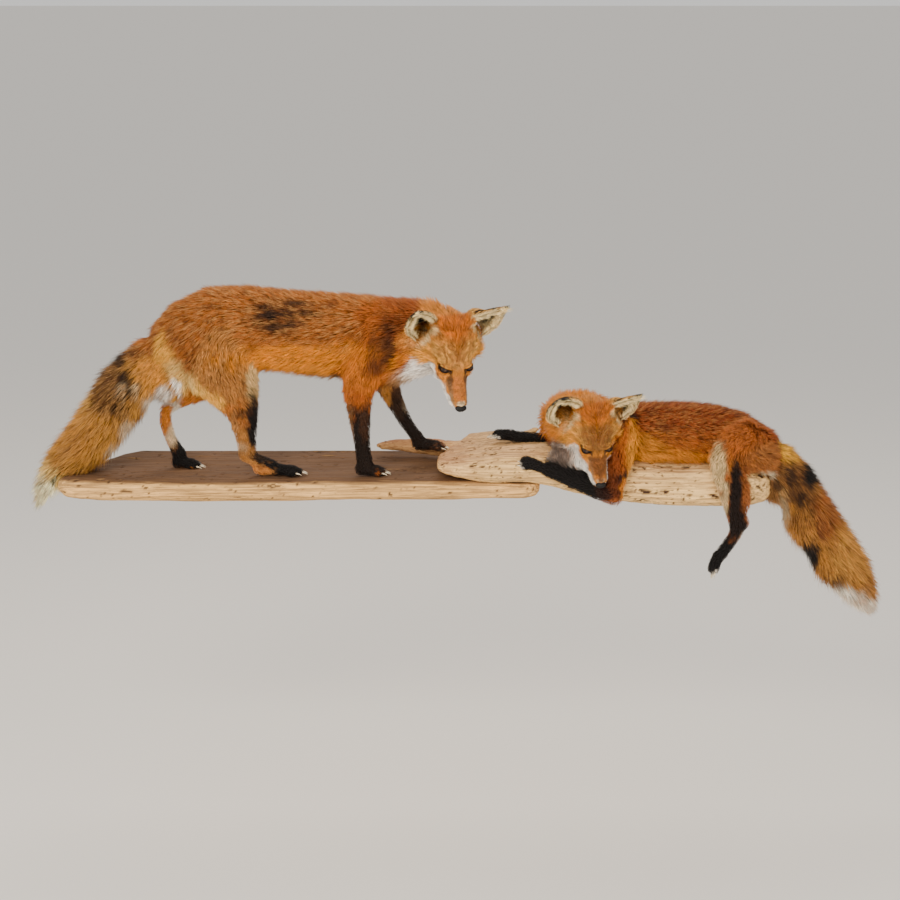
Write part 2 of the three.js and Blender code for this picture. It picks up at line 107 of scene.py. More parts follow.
floor_mesh = bpy.data.meshes.new("floor")
floor_mesh.from_pydata(
    [
        (FLOOR_LEFT, FLOOR_NEAR, FLOOR_Z),
        (FLOOR_RIGHT, FLOOR_NEAR, FLOOR_Z),
        (FLOOR_RIGHT, FLOOR_FAR, FLOOR_Z),
        (FLOOR_LEFT, FLOOR_FAR, FLOOR_Z),
    ],
    [],
    [(0, 1, 2, 3)],
)
# Matt floor paint, rolled on: one flat pale tone without a sheen.
paint, _, shader = finish_of("floor_paint")
shader.inputs["Base Color"].default_value = (*linear(FLOOR_COLOUR), 1)
shader.inputs["Roughness"].default_value = 0.8
floor_mesh.materials.append(paint)
place("floor", floor_mesh)

world = bpy.data.worlds.new("sky")
bpy.context.scene.world = world
world.use_nodes = True
sky = world.node_tree.nodes["Background"]
sky.inputs["Color"].default_value = (*linear(SKY_COLOUR), 1)
sky.inputs["Strength"].default_value = 0.9

for name, at, width, power in (
    ("key_lamp", (-1.3, -2.9, 1.8), 1.6, 116),
    ("fill_lamp", (1.5, -3.2, 0.1), 2.0, 58),
    ("rim_lamp", (0.3, 1.6, 2.4), 1.5, 40),
):
    lamp = bpy.data.lights.new(name, "AREA")
    lamp.size = width
    lamp.energy = power
    lamp.color = linear(LAMP_COLOUR)
    holder = bpy.data.objects.new(name, lamp)
    holder.location = at
    holder.rotation_euler = (MOUNT_MIDDLE - Vector(at)).to_track_quat("-Z", "Y").to_euler()
    bpy.context.scene.collection.objects.link(holder)


# ---------------------------------------------------------------------------------- driftwood
# A flat board and a thicker log of softwood, worn round by water and bleached by the sun, with
# raised grain, cracks and worm pits. Both are sawn flat at the back and hang on the wall.

WOOD_VOXEL = 3.6 * MM  # facets of the worn surface
GRAIN_LENGTH, GRAIN_WIDTH = 90 * MM, 5 * MM  # one raised ridge of late wood
# Tops are darker than sides: partly weathered wood, partly painted shade under the foxes.
BOARD_COLOURS = {"side": "#F4C078", "top": "#6E5036", "grain": "#4E341E", "pit": "#46301E"}
LOG_COLOURS = {"side": "#FFD48C", "top": "#E0B47C", "grain": "#7E5834", "pit": "#3A2416"}


def welded(node):
    """A loose copy of a solid in which triangles share their corners."""
    shell = bmesh.new()
    shell.from_mesh(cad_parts[node].data)
    bmesh.ops.remove_doubles(shell, verts=shell.verts, dist=1e-6)
    shell.normal_update()
    return shell


def mesh_of(name, shell):
    """A mesh of a loose shell, which is then let go."""
    mesh = bpy.data.meshes.new(name)
    shell.to_mesh(mesh)
    shell.free()
    return mesh


def as_modified(made):
    """A plain mesh of an object as its modifiers leave it."""
    graph = bpy.context.evaluated_depsgraph_get()
    return bpy.data.meshes.new_from_object(made.evaluated_get(graph))


def melted(name, shells, voxel, swell=0.0):
    """Closed shells swollen a little so that they meet, then melted into one closed mesh."""
    whole = bmesh.new()
    for shell in shells:
        for vert in shell.verts:
            vert.co += vert.normal * swell
        part = mesh_of(name, shell)
        whole.from_mesh(part)
        bpy.data.meshes.remove(part)
    holder = place(name + "_rough", mesh_of(name, whole))
    remesh = holder.modifiers.new("melt", "REMESH")
    remesh.mode = "VOXEL"
    remesh.voxel_size = voxel
    mesh = as_modified(holder)
    bpy.data.objects.remove(holder)
    return mesh


def read(items, field, width=3):
    """Measures kept by a mesh: one row for each item, or one number where `width` is 1."""
    values = np.empty(len(items) * width, np.float32)
    items.foreach_get(field, values)
    return values.reshape(-1, width).astype(float) if width > 1 else values.astype(float)


def read_counts(items, field, width=1):
    """Whole numbers kept by a mesh, such as which corners its edges join."""
    values = np.empty(len(items) * width, np.int32)
    items.foreach_get(field, values)
    return values


def joints_of(mesh):
    return read_counts(mesh.edges, "vertices", 2).reshape(-1, 2)


def relaxed(values, edges, rounds, pull=0.5):
    """Values at a mesh's corners, drawn towards the mean of their neighbours."""
    values = values.copy()
    size, (a, b) = len(values), edges.T
    count = np.maximum(np.bincount(edges.ravel(), minlength=size), 1)[:, None]
    for _ in range(rounds):
        mean = np.stack(
            [
                np.bincount(a, column[b], size) + np.bincount(b, column[a], size)
                for column in values.T
            ],
            axis=1,
        )
        values += pull * (mean / count - values)
    return values


def moved(mesh, points):
    mesh.vertices.foreach_set("co", points.astype(np.float32).ravel())
    mesh.update()


def noise(points, size, seed=0):
    """Smooth random values from 0 to 1 whose spots are about `size` across, per axis or in all."""
    p = points / np.asarray(size) + seed * 17.31
    cell = np.floor(p).astype(np.int64)
    f = p - cell
    f = f * f * (3 - 2 * f)
    total = np.zeros(len(p))
    for corner in np.ndindex(2, 2, 2):
        k = cell + corner
        code = (k[:, 0] * 73856093) ^ (k[:, 1] * 19349663) ^ (k[:, 2] * 83492791) ^ (seed * 2654435)
        code = (code ^ (code >> 13)) * 1274126177 & 0xFFFFFFFF
        code = (code ^ (code >> 16)) & 0xFFFF
        share = np.prod(np.where(corner, f, 1 - f), axis=1)
        total += share * code / 0xFFFF
    return total


def swirls(points, size, seed):
    """A random direction at each place, up to 0.5 either way on each axis."""
    return np.stack([noise(points, size, seed + axis) for axis in range(3)], axis=1) - 0.5


def step(value, low, high):
    """0 at `low` and 1 at `high`, with a soft climb between. `low` may be the larger."""
    t = np.clip((value - low) / (high - low), 0, 1)
    return t * t * (3 - 2 * t)


def store(mesh, name, values, domain="POINT"):
    """An attribute on the mesh: a number, a direction or a colour at each corner."""
    values = np.asarray(values, np.float32)
    width = 1 if values.ndim == 1 else values.shape[1]
    kind, field = {1: ("FLOAT", "value"), 3: ("FLOAT_VECTOR", "vector"), 4: ("FLOAT_COLOR", "color")}[width]
    mesh.attributes.new(name, kind, domain).data.foreach_set(field, values.ravel())


def weathered(node, relief, pits, cracks):
    """A driftwood solid worn into raised grain, cracks along it and worm pits."""
    mesh = melted(node, [welded(node)], WOOD_VOXEL)
    edges = joints_of(mesh)
    points = relaxed(read(mesh.vertices, "co"), edges, 4)
    moved(mesh, points)
    normals = read(mesh.vertices, "normal")
    free = 1 - step(points[:, 1], -8 * MM, -1 * MM)  # the sawn back stays flat
    bend = noise(points, (60 * MM, 26 * MM, 26 * MM), 3) - 0.5
    warp = points + np.outer(bend, (0, 1, 1)) * 9 * MM
    ridge = noise(warp, (GRAIN_LENGTH, GRAIN_WIDTH, GRAIN_WIDTH), 5) - 0.5
    fine = noise(warp, (GRAIN_LENGTH / 3, GRAIN_WIDTH / 2, GRAIN_WIDTH / 2), 6) - 0.5
    crowd = 0.11 * (noise(points, 70 * MM, 9) - 0.6)  # cracks and pits come in groups
    worm = points + 12 * MM * swirls(points, 7 * MM, 12)
    split = noise(warp + 0.5 * (worm - points), (46 * MM, 5 * MM, 5 * MM), 17) + crowd
    crack = step(split + 0.3 * (noise(warp, 11 * MM, 4) - 0.5), 1 - cracks, 1 - cracks / 2)
    hole = noise(worm, (9 * MM, 5 * MM, 5 * MM), 18) + 0.35 * (noise(points, 5 * MM, 2) - 0.5) + crowd
    pit = step(hole, 1 - pits, 1 - pits / 2)
    depth = relief * (bend * 4 + ridge * 2.0 + fine * 1.1) - 2.6 * crack - 2.2 * pit
    moved(mesh, points + normals * (depth * free)[:, None] * MM)
    mesh.shade_smooth()
    store(mesh, "hollow", np.maximum(crack, pit) * free)
    return mesh


def driftwood_finish(name, colours, speckled, stain):
    """Sun-bleached softwood: dry, unvarnished, with fine dark grain lines and deeper pits. A mix
    node's sockets 0, 6 and 7 are its share and its two colours."""
    material, tree, shader = finish_of(name)
    spot = add_node(tree, "ShaderNodeTexCoord").outputs["Object"]
    # Late-wood lines 3 to 4 mm apart and 0.1 m long, as they show on a weathered face.
    along = add_node(tree, "ShaderNodeMapping", {"Vector": spot, "Scale": (9.0, 270.0, 310.0)})
    lines = add_node(
        tree,
        "ShaderNodeTexNoise",
        {"Vector": along, "Scale": 1.0, "Detail": 6.0, "Roughness": 0.68, "Distortion": 0.6},
    )
    # Flecks 10 mm long and 4 mm wide, and clouds of 140 by 38 mm where water has stood.
    fleck = add_node(tree, "ShaderNodeMapping", {"Vector": spot, "Scale": (95.0, 260.0, 300.0)})
    flecks = add_node(tree, "ShaderNodeTexNoise", {"Vector": fleck, "Scale": 1.0, "Detail": 4.0})
    wide = add_node(tree, "ShaderNodeMapping", {"Vector": spot, "Scale": (7.0, 26.0, 30.0)})
    cloud = add_node(tree, "ShaderNodeTexNoise", {"Vector": wide, "Detail": 4.0, "Scale": 1.0})
    # Faces turned upwards take the darker top colour: partly the wood's weathered top, partly painted shade
    # under the foxes.
    facing = add_node(
        tree, "ShaderNodeSeparateXYZ", {0: add_node(tree, "ShaderNodeNewGeometry").outputs["Normal"]}
    )
    top_and_shade = add_node(
        tree, "ShaderNodeMapRange", {"Value": facing.outputs["Z"], "From Min": 0.55, "From Max": 0.95}
    )
    body = add_node(
        tree,
        "ShaderNodeMix",
        {0: top_and_shade, 6: (*linear(colours["side"]), 1), 7: (*linear(colours["top"]), 1)},
        data_type="RGBA",
    )
    shade = add_node(
        tree, "ShaderNodeMapRange", {"Value": cloud, "From Min": 0.42, "From Max": 0.7, "To Max": 0.3}
    )
    streak = add_node(
        tree,
        "ShaderNodeMapRange",
        {"Value": lines, "From Min": 0.4, "From Max": 0.6, "To Min": 0.66, "To Max": 0.0},
    )
    specks = add_node(
        tree, "ShaderNodeMapRange", {"Value": flecks, "From Min": 0.61, "From Max": 0.7, "To Max": speckled}
    )
    near_end = add_node(
        tree,
        "ShaderNodeMapRange",
        {
            "Value": add_node(tree, "ShaderNodeSeparateXYZ", {0: spot}),
            "From Min": stain[0],
            "From Max": stain[1],
            "To Min": 0.9,
            "To Max": 0.0,
        },
    )
    stained = add_node(tree, "ShaderNodeMath", {0: near_end, 1: cloud}, operation="MULTIPLY")
    hollow = add_node(tree, "ShaderNodeAttribute", attribute_name="hollow").outputs["Fac"]
    for share, code in (
        (shade, colours["grain"]),
        (streak, colours["grain"]),
        (specks, colours["pit"]),
        (stained, "#9C5C40"),  # red-brown where the end was chewed and soaked
        (hollow, colours["pit"]),
    ):
        body = add_node(
            tree, "ShaderNodeMix", {0: share, 6: body, 7: (*linear(code), 1)}, data_type="RGBA"
        )
    tree.links.new(body.outputs[2], shader.inputs["Base Color"])
    shader.inputs["Roughness"].default_value = 0.82
    shader.inputs["Specular IOR Level"].default_value = 0.3
    relief = add_node(
        tree, "ShaderNodeBump", {"Strength": 0.55, "Distance": 0.0012, "Height": lines}
    )
    tree.links.new(relief.outputs["Normal"], shader.inputs["Normal"])
    return material


board_mesh = weathered("driftwood_board", relief=0.9, pits=0.14, cracks=0.17)
board_mesh.materials.append(driftwood_finish("weathered_board_pine", BOARD_COLOURS, 0.35, (-2.0, -1.9)))
log_mesh = weathered("driftwood_log", relief=1.7, pits=0.19, cracks=0.23)
log_mesh.materials.append(driftwood_finish("bleached_log_pine", LOG_COLOURS, 0.85, (-0.03, 0.06)))
for name, mesh, node, slot in (
    ("board", board_mesh, "driftwood_board", "driftwood_pale"),
    ("log", log_mesh, "driftwood_log", "driftwood_bleached"),
):
    wood = place(name, mesh)
    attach(wood, "root")
    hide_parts(node)


# ----------------------------------------------------------------------------- shape of a head
# Skull, muzzle and lids of a red fox over the taxidermist's form. Each head has its own frame:
# the origin between the eyes, then axes towards the nose, the fox's left and the crown.


class Head:
    """A head's own frame, in millimetres of a middling fox that `size` scales, and its ears."""

    def __init__(self, origin, nose, crown, size, ears):
        ahead = Vector(nose).normalized()
        left = Vector(crown).cross(ahead).normalized()
        self.origin = np.array(origin) * MM
        self.axes = np.array([ahead, left, ahead.cross(left)])
        self.scale = size * MM
        self.ears = ears  # left and right: share of the usual width, and how round the blade is

    def world(self, points):
        return self.origin + self.scale * np.asarray(points, float) @ self.axes

    def local(self, points):
        return (points - self.origin) @ self.axes.T / self.scale

    def turned(self, directions):
        return np.asarray(directions, float) @ self.axes


WALKER_HEAD = Head(
    origin=(8.6, -215, 240),
    nose=(0.184, -0.47, -0.863),
    crown=(0.279, -0.817, 0.505),
    size=1.06,
    ears=((1.0, 1.4), (0.9, 2.3)),
)
RESTER_HEAD = Head(
    origin=(270.3, -230, 90),
    nose=(0.135, -0.521, -0.843),
    crown=(0.127, -0.835, 0.536),
    size=0.943,
    ears=((0.9, 1.4), (1.2, 2.3)),
)

EYE_CENTRE = np.array((4.0, 20.5, 7.5))  # the fox's left eye, in the head's frame
EYE_RADIUS = 9.0
LID_THICKNESS = 1.1
EYE_GAZE = np.array((0.50, 0.62, 0.60))
LID_LINE = np.array((-0.45, 0.80, -0.10))  # from the tear duct to the outer corner
LID_HALF_LENGTH = math.radians(68)
UPPER_LID, LOWER_LID = math.radians(12), math.radians(24)  # half closed


def side_of(local):
    """The same places on the fox's left, and which side each was on."""
    hand = np.where(local[:, 1] < 0, -1.0, 1.0)
    return local * np.stack([np.ones_like(hand), hand, np.ones_like(hand)], axis=1), hand


def eye_opening(left_side):
    """How far each place lies outside the lids' edge, in radians about the eye, and from the eye."""
    gaze = EYE_GAZE / np.linalg.norm(EYE_GAZE)
    line = LID_LINE - gaze * (LID_LINE @ gaze)
    line /= np.linalg.norm(line)
    out = left_side - EYE_CENTRE
    far = np.linalg.norm(out, axis=1)
    out = out / np.maximum(far, 1e-6)[:, None]
    u = np.arctan2(out @ line, out @ gaze)
    v = np.arcsin(np.clip(out @ np.cross(gaze, line), -1, 1))
    arch = np.clip(1 - (u / LID_HALF_LENGTH) ** 2, -1, 1)
    edge = np.where(v > 0, UPPER_LID, LOWER_LID) * arch
    return np.where(out @ gaze > -0.2, np.abs(v) - edge, 1.0), far


def lip_height(ahead):
    """How high the mouth line runs, by the distance ahead of the eyes."""
    return -20.5 - 3.5 * step(ahead, 72, 30)


def faced(head, points):
    """A head's surface with its lids, mouth line and whisker pads drawn into it."""
    local = head.local(points)
    left, hand = side_of(local)
    # Lids stand a little off the glass eye, and the opening sinks behind it.
    outside, far = eye_opening(left)
    near = 1 - step(far, EYE_RADIUS + 1, EYE_RADIUS + 8)
    lid = EYE_RADIUS + LID_THICKNESS + 0.8 * step(outside, 0.5, 0.0)
    reach = np.where(outside < 0, EYE_RADIUS - 1.6, np.maximum(far, lid))
    reach = far + (reach - far) * np.where(outside < 0.6, near, 0)
    left = EYE_CENTRE + (left - EYE_CENTRE) * (reach / np.maximum(far, 1e-6))[:, None]
    # Mouth line, from under the nose back to below the eye.
    x, y, z = left.T
    seam = np.exp(-(((z - lip_height(x)) / 1.3) ** 2)) * step(x, 8, 16) * step(x, 78, 72) * step(y, 2, 5)
    pad = np.exp(-(((x - 58) / 12) ** 2) - ((z + 15) / 6) ** 2) * step(y, 2, 8)
    bridge = np.exp(-((y / 5) ** 2)) * step(x, 12, 30) * step(x, 78, 66) * step(z, -12, 0)
    lips = np.exp(-(((z + 20) / 8) ** 2)) * step(x, -4, 14) * step(x, 76, 62) * step(y, 2, 8)
    left[:, 1] += 1.6 * pad + 3.6 * lips - 2.2 * seam
    left[:, 2] += 0.8 * bridge
    left[:, 1] *= hand
    return head.world(left)


EAR_ROOT = np.array((-63.0, 48.0, 14.0))
EAR_RISE = np.array((-0.05, 0.41, 0.91))
EAR_OPENING = np.array((0.94, -0.2, 0.14))
EAR_LENGTH, EAR_HALF_WIDTH, EAR_WALL = 84.0, 31.0, 4.5
EAR_COLUMNS, EAR_ROWS = 19, 34


def ear_axes(mirror=(1, 1, 1)):
    """Which way an ear rises, opens and crosses, in the head's frame."""
    rise = EAR_RISE * mirror / np.linalg.norm(EAR_RISE)
    opening = EAR_OPENING * mirror
    opening = opening - rise * (opening @ rise)
    opening /= np.linalg.norm(opening)
    return rise, opening, np.cross(rise, opening)


def ear(head, hand):
    """A cupped ear's corners and faces. Each corner's note says which ear it is on, whether it lies
    inside the cup, how near the rim, and how high; then the ways that the ear rises and crosses."""
    mirror = np.array((1, hand, 1))
    rise, opening, across = ear_axes(mirror)
    rows, notes = [], []
    turn = np.linspace(-1, 1, EAR_COLUMNS)
    share, roundness = head.ears[hand < 0]
    for v in np.linspace(-0.14, 1, EAR_ROWS):
        blade = (1 - max(v, 0) ** roundness) ** (1.53 / roundness)
        half = share * EAR_HALF_WIDTH * max(blade, 0.05)
        half *= 0.72 + 0.28 * step(v, -0.1, 0.35)
        wrap = math.radians(np.interp(v, (0, 0.4, 1), (112, 62, 34)))
        round_it = half / math.sin(min(wrap, math.pi / 2))
        for side, thick in ((turn, 0.0), (turn[::-1], EAR_WALL)):
            a = wrap * side
            edge = np.sqrt(np.clip(1 - side**6, 0, 1))
            wall = thick * (0.3 + 0.7 * edge) * (0.5 + 0.5 * min(1, (1 - v) * 4))
            rows.append(
                EAR_ROOT * mirror
                + rise * EAR_LENGTH * v
                + np.outer((round_it + wall) * np.sin(a), across)
                - np.outer((round_it + wall) * np.cos(a) - round_it * math.cos(min(wrap, 1.75)), opening)
            )
            notes += [(thick == 0.0, across_cup, v) for across_cup in side]
    ring = 2 * EAR_COLUMNS
    faces = []
    for i in range(EAR_ROWS - 1):
        for j in range(ring):
            k = (j + 1) % ring
            a, b = i * ring + j, i * ring + k
            faces.append((a, b, b + ring, a + ring))
    last = (EAR_ROWS - 1) * ring
    for j in range(EAR_COLUMNS - 1):
        faces.append((j + 1, j, ring - 1 - j, ring - 2 - j))
        faces.append((last + j, last + j + 1, last + ring - 2 - j, last + ring - 1 - j))
    notes = np.array(notes, float)
    ways = np.concatenate([head.turned(rise), head.turned(across)])
    notes = np.hstack([np.full((len(notes), 1), float(hand)), notes, np.tile(ways, (len(notes), 1))])
    return head.world(np.concatenate(rows)), faces, notes


# ---------------------------------------------------------------------------- eyes and noses
# Eyes blown of dark brown glass, with the iris and slit pupil painted behind the bulge, and
# noses modelled in the form, with the grain of wet leather. Both are set before the skin.

NOSE_CENTRE = np.array((73.5, 0, -9.8))
NOSE_RADII = np.array((6.8, 10.4, 6.4))


def ball(name, segments, rings, head, shape, field, finish):
    """A sphere's corners put where `shape` says, in a head's frame, with its own directions kept."""
    shell = bmesh.new()
    bmesh.ops.create_uvsphere(shell, u_segments=segments, v_segments=rings, radius=1)
    mesh = mesh_of(name, shell)
    ways = read(mesh.vertices, "co")
    store(mesh, field, ways)
    moved(mesh, head.world(shape(ways)))
    mesh.shade_smooth()
    mesh.materials.append(finish)
    made = place(name, mesh)
    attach(made, "root")
    return made


def nose_shape(ways):
    """A pad with a flat top, a groove down its middle and two nostrils that open sideways."""
    x, y, z = ways[:, 2], ways[:, 0], ways[:, 1]  # the sphere's pole looks ahead
    groove = 1.3 * np.exp(-((y / 0.09) ** 2)) * step(z, 0.25, 0.0) * (x > 0)
    sides = np.abs(y)
    holes = np.exp(-(((sides - 0.52) / 0.2) ** 2) - ((z + 0.12 + 0.35 * (sides - 0.5)) / 0.17) ** 2)
    slit = np.exp(-(((sides - 0.82) / 0.22) ** 2) - ((z + 0.32) / 0.1) ** 2)
    deep = groove + (3.0 * holes + 1.6 * slit) * (x > 0)
    flat = np.where(z > 0, 0.86, 1.0)
    spots = np.stack([x, y, z * flat], 1) * NOSE_RADII
    return NOSE_CENTRE + spots * (1 - deep / 8)[:, None]


# Blown eye glass: dark brown iris threads round a slit pupil, under a bulge that takes a clear
# small highlight.
eye_finish, tree, shader = finish_of("dark_eye_glass")
on_eye = add_node(tree, "ShaderNodeAttribute", attribute_name="on_eye").outputs["Vector"]
gazing = add_node(tree, "ShaderNodeSeparateXYZ", {0: on_eye}).outputs["Z"]
# Threads of the iris, drawn outwards from the pupil.
threads = add_node(
    tree,
    "ShaderNodeTexNoise",
    {
        "Vector": add_node(tree, "ShaderNodeMapping", {"Vector": on_eye, "Scale": (9.0, 9.0, 1.0)}),
        "Scale": 2.0,
        "Detail": 3.0,
    },
)
iris = add_node(
    tree,
    "ShaderNodeMix",
    {0: threads, 6: (*linear("#1C0F06"), 1), 7: (*linear("#4E2C10"), 1)},
    data_type="RGBA",
)
edge = add_node(
    tree, "ShaderNodeMapRange", {"Value": gazing, "From Min": 0.74, "From Max": 0.82}
)
iris = add_node(
    tree, "ShaderNodeMix", {0: edge, 6: (*linear("#0A0706"), 1), 7: iris}, data_type="RGBA"
)
slit = add_node(
    tree,
    "ShaderNodeVectorMath",
    {0: on_eye, 1: (4.2, 2.0, 0.0)},
    operation="MULTIPLY",
)
slit = add_node(tree, "ShaderNodeVectorMath", {0: slit}, operation="LENGTH").outputs["Value"]
pupil = add_node(tree, "ShaderNodeMapRange", {"Value": slit, "From Min": 0.75, "From Max": 0.9})
iris = add_node(
    tree, "ShaderNodeMix", {0: pupil, 6: (*linear("#050404"), 1), 7: iris}, data_type="RGBA"
)
tree.links.new(iris.outputs[2], shader.inputs["Base Color"])
shader.inputs["Roughness"].default_value = 0.3
shader.inputs["IOR"].default_value = 1.5
shader.inputs["Specular IOR Level"].default_value = 0.2
shader.inputs["Coat Weight"].default_value = 0.6
shader.inputs["Coat Roughness"].default_value = 0.06

# Nose leather: black, a little moist, pebbled at about 0.6 mm.
nose_finish, tree, shader = finish_of("nose_leather")
on_nose = add_node(tree, "ShaderNodeAttribute", attribute_name="on_nose").outputs["Vector"]
pebbles = add_node(tree, "ShaderNodeTexVoronoi", {"Vector": on_nose, "Scale": 13.0})
relief = add_node(
    tree, "ShaderNodeBump", {"Strength": 0.5, "Distance": 0.0005, "Height": pebbles}
)
tone = add_node(
    tree,
    "ShaderNodeMix",
    {0: pebbles, 6: (*linear("#12100F"), 1), 7: (*linear("#050404"), 1)},
    data_type="RGBA",
)
tree.links.new(tone.outputs[2], shader.inputs["Base Color"])
tree.links.new(relief.outputs["Normal"], shader.inputs["Normal"])
shader.inputs["Roughness"].default_value = 0.45
shader.inputs["Specular IOR Level"].default_value = 0.25

for fox, head in (("walker", WALKER_HEAD), ("rester", RESTER_HEAD)):
    nose = ball(fox + "_nose", 48, 32, head, nose_shape, "on_nose", nose_finish)
    if fox == "walker":
        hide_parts("fox_nose")
    for side, hand in (("left", 1), ("right", -1)):
        gaze = Vector(EYE_GAZE * (1, hand, 1)).normalized()
        aside = gaze.cross((0, 0, 1)).normalized()
        turn = np.array([aside, aside.cross(gaze) * -1, gaze])
        centre = EYE_CENTRE * (1, hand, 1)
        eye = ball(
            f"{fox}_eye_{side}",
            40,
            24,
            head,
            lambda ways, turn=turn, centre=centre: centre + ways @ turn * EYE_RADIUS,
            "on_eye",
            eye_finish,
        )
        if fox == "walker":
            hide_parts("fox_eye_" + side)


# -------------------------------------------------------------------------------------- paws
# Four toes and a pad round the wires of each foot, with horn claws set in the toes' ends.

CLAW_LENGTH, CLAW_RADIUS, CLAW_DROP = 12.0, 1.9, 4.6
CLAW_RINGS, CLAW_SIDES = 6, 8


class Paw:
    """A foot's own frame and sizes: its heel, the way that its toes point, and its upper side."""

    def __init__(self, heel, ahead, up, length, width):
        self.ahead = Vector(ahead).normalized()
        up = Vector(up)
        self.up = (up - self.ahead * up.dot(self.ahead)).normalized()
        self.across = self.up.cross(self.ahead).normalized()
        self.heel, self.length, self.width = Vector(heel), length, width

    def at(self, x, y, z):
        return (self.heel + self.ahead * x + self.across * y + self.up * z) * MM

    def frame_at(self, x, y, z, radii):
        turn = Matrix((self.ahead, self.across, self.up)).transposed().to_4x4()
        stretch = Matrix.Diagonal((*(radius * MM for radius in radii), 1))
        return Matrix.Translation(self.at(x, y, z)) @ turn @ stretch

    def toes(self):
        """Each toe's reach along the foot, its place across, and its thickness."""
        for finger in (-1.5, -0.5, 0.5, 1.5):
            reach = self.length * (0.84 if abs(finger) < 1 else 0.7)
            yield reach, finger * self.width * 0.56, self.width * 0.4


WALKER_PAWS = (
    Paw((-352, -163, 23.4), (1, 0, 0), (0, 0, 1), 76, 17),  # hind right
    Paw((-522, -104, 23.4), (1, 0, 0), (0, 0, 1), 42, 16),  # hind left
    Paw((-168, -163, 23.4), (1, 0, 0), (0, 0, 1), 44, 17),  # fore right
    Paw((-60, -79, 54), (1, 0, 0), (0, 0, 1), 50, 16),  # fore left
)
RESTER_PAWS = (
    Paw((163, -210, 44), (-0.92, 0.14, 0.4), (0.3, -0.72, 0.64), 34, 14),  # near fore
    Paw((116, -117, 79), (-0.98, -0.05, 0.15), (0, 0, 1), 34, 14),  # far fore
    Paw((516, -213, -126), (-0.48, 0, -0.88), (-0.88, -0.1, 0.48), 34, 14),  # near hind
    Paw((436, -66, 54), (-1, 0, 0), (0, 0, 1), 34, 14),  # far hind
)


def ellipsoid(spot, segments, rings, radius=1):
    """A closed ball, put in its place, turned and stretched by a matrix."""
    shell = bmesh.new()
    bmesh.ops.create_uvsphere(shell, u_segments=segments, v_segments=rings, radius=radius, matrix=spot)
    shell.normal_update()
    return shell


def paw_shells(paw):
    """Closed ellipsoids of one paw: four toes, the ball of the foot and its bridge."""
    length, width = paw.length, paw.width
    masses = [
        ((reach, side, thick + 1), (thick * 1.7, thick * 1.06, thick * 1.1))
        for reach, side, thick in paw.toes()
    ]
    for share, long, wide, height in (
        (0.0, 0.30, 0.78, 12.5),
        (0.3, 0.34, 0.92, 11.5),
        (0.6, 0.3, 1.02, 10),
    ):
        masses.append(((share * length, 0, height), (long * length, width * wide, height)))
    return [ellipsoid(paw.frame_at(*middle, radii), 14, 9) for middle, radii in masses]


def claw_mesh(name, paws, finish):
    """Curved cones of horn, one in the end of each toe."""
    shell = bmesh.new()
    turns = [2 * math.pi * j / CLAW_SIDES for j in range(CLAW_SIDES)]
    for paw in paws:
        for reach, side, thick in paw.toes():
            start, quick = reach + thick * 1.25, thick * 0.95
            loops = []
            for number in range(CLAW_RINGS):
                t = number / CLAW_RINGS
                ahead, height = start + CLAW_LENGTH * t, quick - CLAW_DROP * t**1.8
                radius = CLAW_RADIUS * (1 - t) ** 0.7
                ring = [
                    paw.at(ahead, side + radius * 0.8 * math.cos(turn), height + radius * math.sin(turn))
                    for turn in turns
                ]
                loops.append([shell.verts.new(spot) for spot in ring])
            tip = shell.verts.new(paw.at(start + CLAW_LENGTH, side, quick - CLAW_DROP))
            root = shell.verts.new(paw.at(start - 1, side, quick))
            for j in range(CLAW_SIDES):
                k = (j + 1) % CLAW_SIDES
                shell.faces.new((loops[0][k], loops[0][j], root))
                shell.faces.new((loops[-1][j], loops[-1][k], tip))
                for a, b in zip(loops, loops[1:]):
                    shell.faces.new((a[j], a[k], b[k], b[j]))
    bmesh.ops.recalc_face_normals(shell, faces=shell.faces)
    mesh = mesh_of(name, shell)
    mesh.shade_smooth()
    mesh.materials.append(finish)
    return mesh


# Claw horn, grown and worn: pale, slightly glossy, with darker streaks 1 to 2 mm wide.
claw_horn, tree, shader = finish_of("claw_horn")
streaks = add_node(
    tree,
    "ShaderNodeTexNoise",
    {"Vector": add_node(tree, "ShaderNodeTexCoord").outputs["Object"], "Scale": 700.0, "Detail": 2.0},
)
tint = add_node(tree, "ShaderNodeValToRGB", {"Fac": streaks.outputs["Fac"]})
tint.color_ramp.elements[0].color = (*linear("#A08D70"), 1)
tint.color_ramp.elements[0].position = 0.3
tint.color_ramp.elements[1].color = (*linear("#E9DDC2"), 1)
tint.color_ramp.elements[1].position = 0.6
tree.links.new(tint.outputs["Color"], shader.inputs["Base Color"])
shader.inputs["Roughness"].default_value = 0.38
for name, paws in (("walker_claws", WALKER_PAWS), ("rester_claws", RESTER_PAWS)):
    claws = place(name, claw_mesh(name, paws, claw_horn))
    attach(claws, "root")


# --------------------------------------------------------------------------- lie of the coats
# How each skin's hair lies and how thick it grows. A row is a place on the middle line of a limb,
# in millimetres, then the limb's half thickness, the coat's depth and its hairs' length there.
# Hair lies the way the rows run.

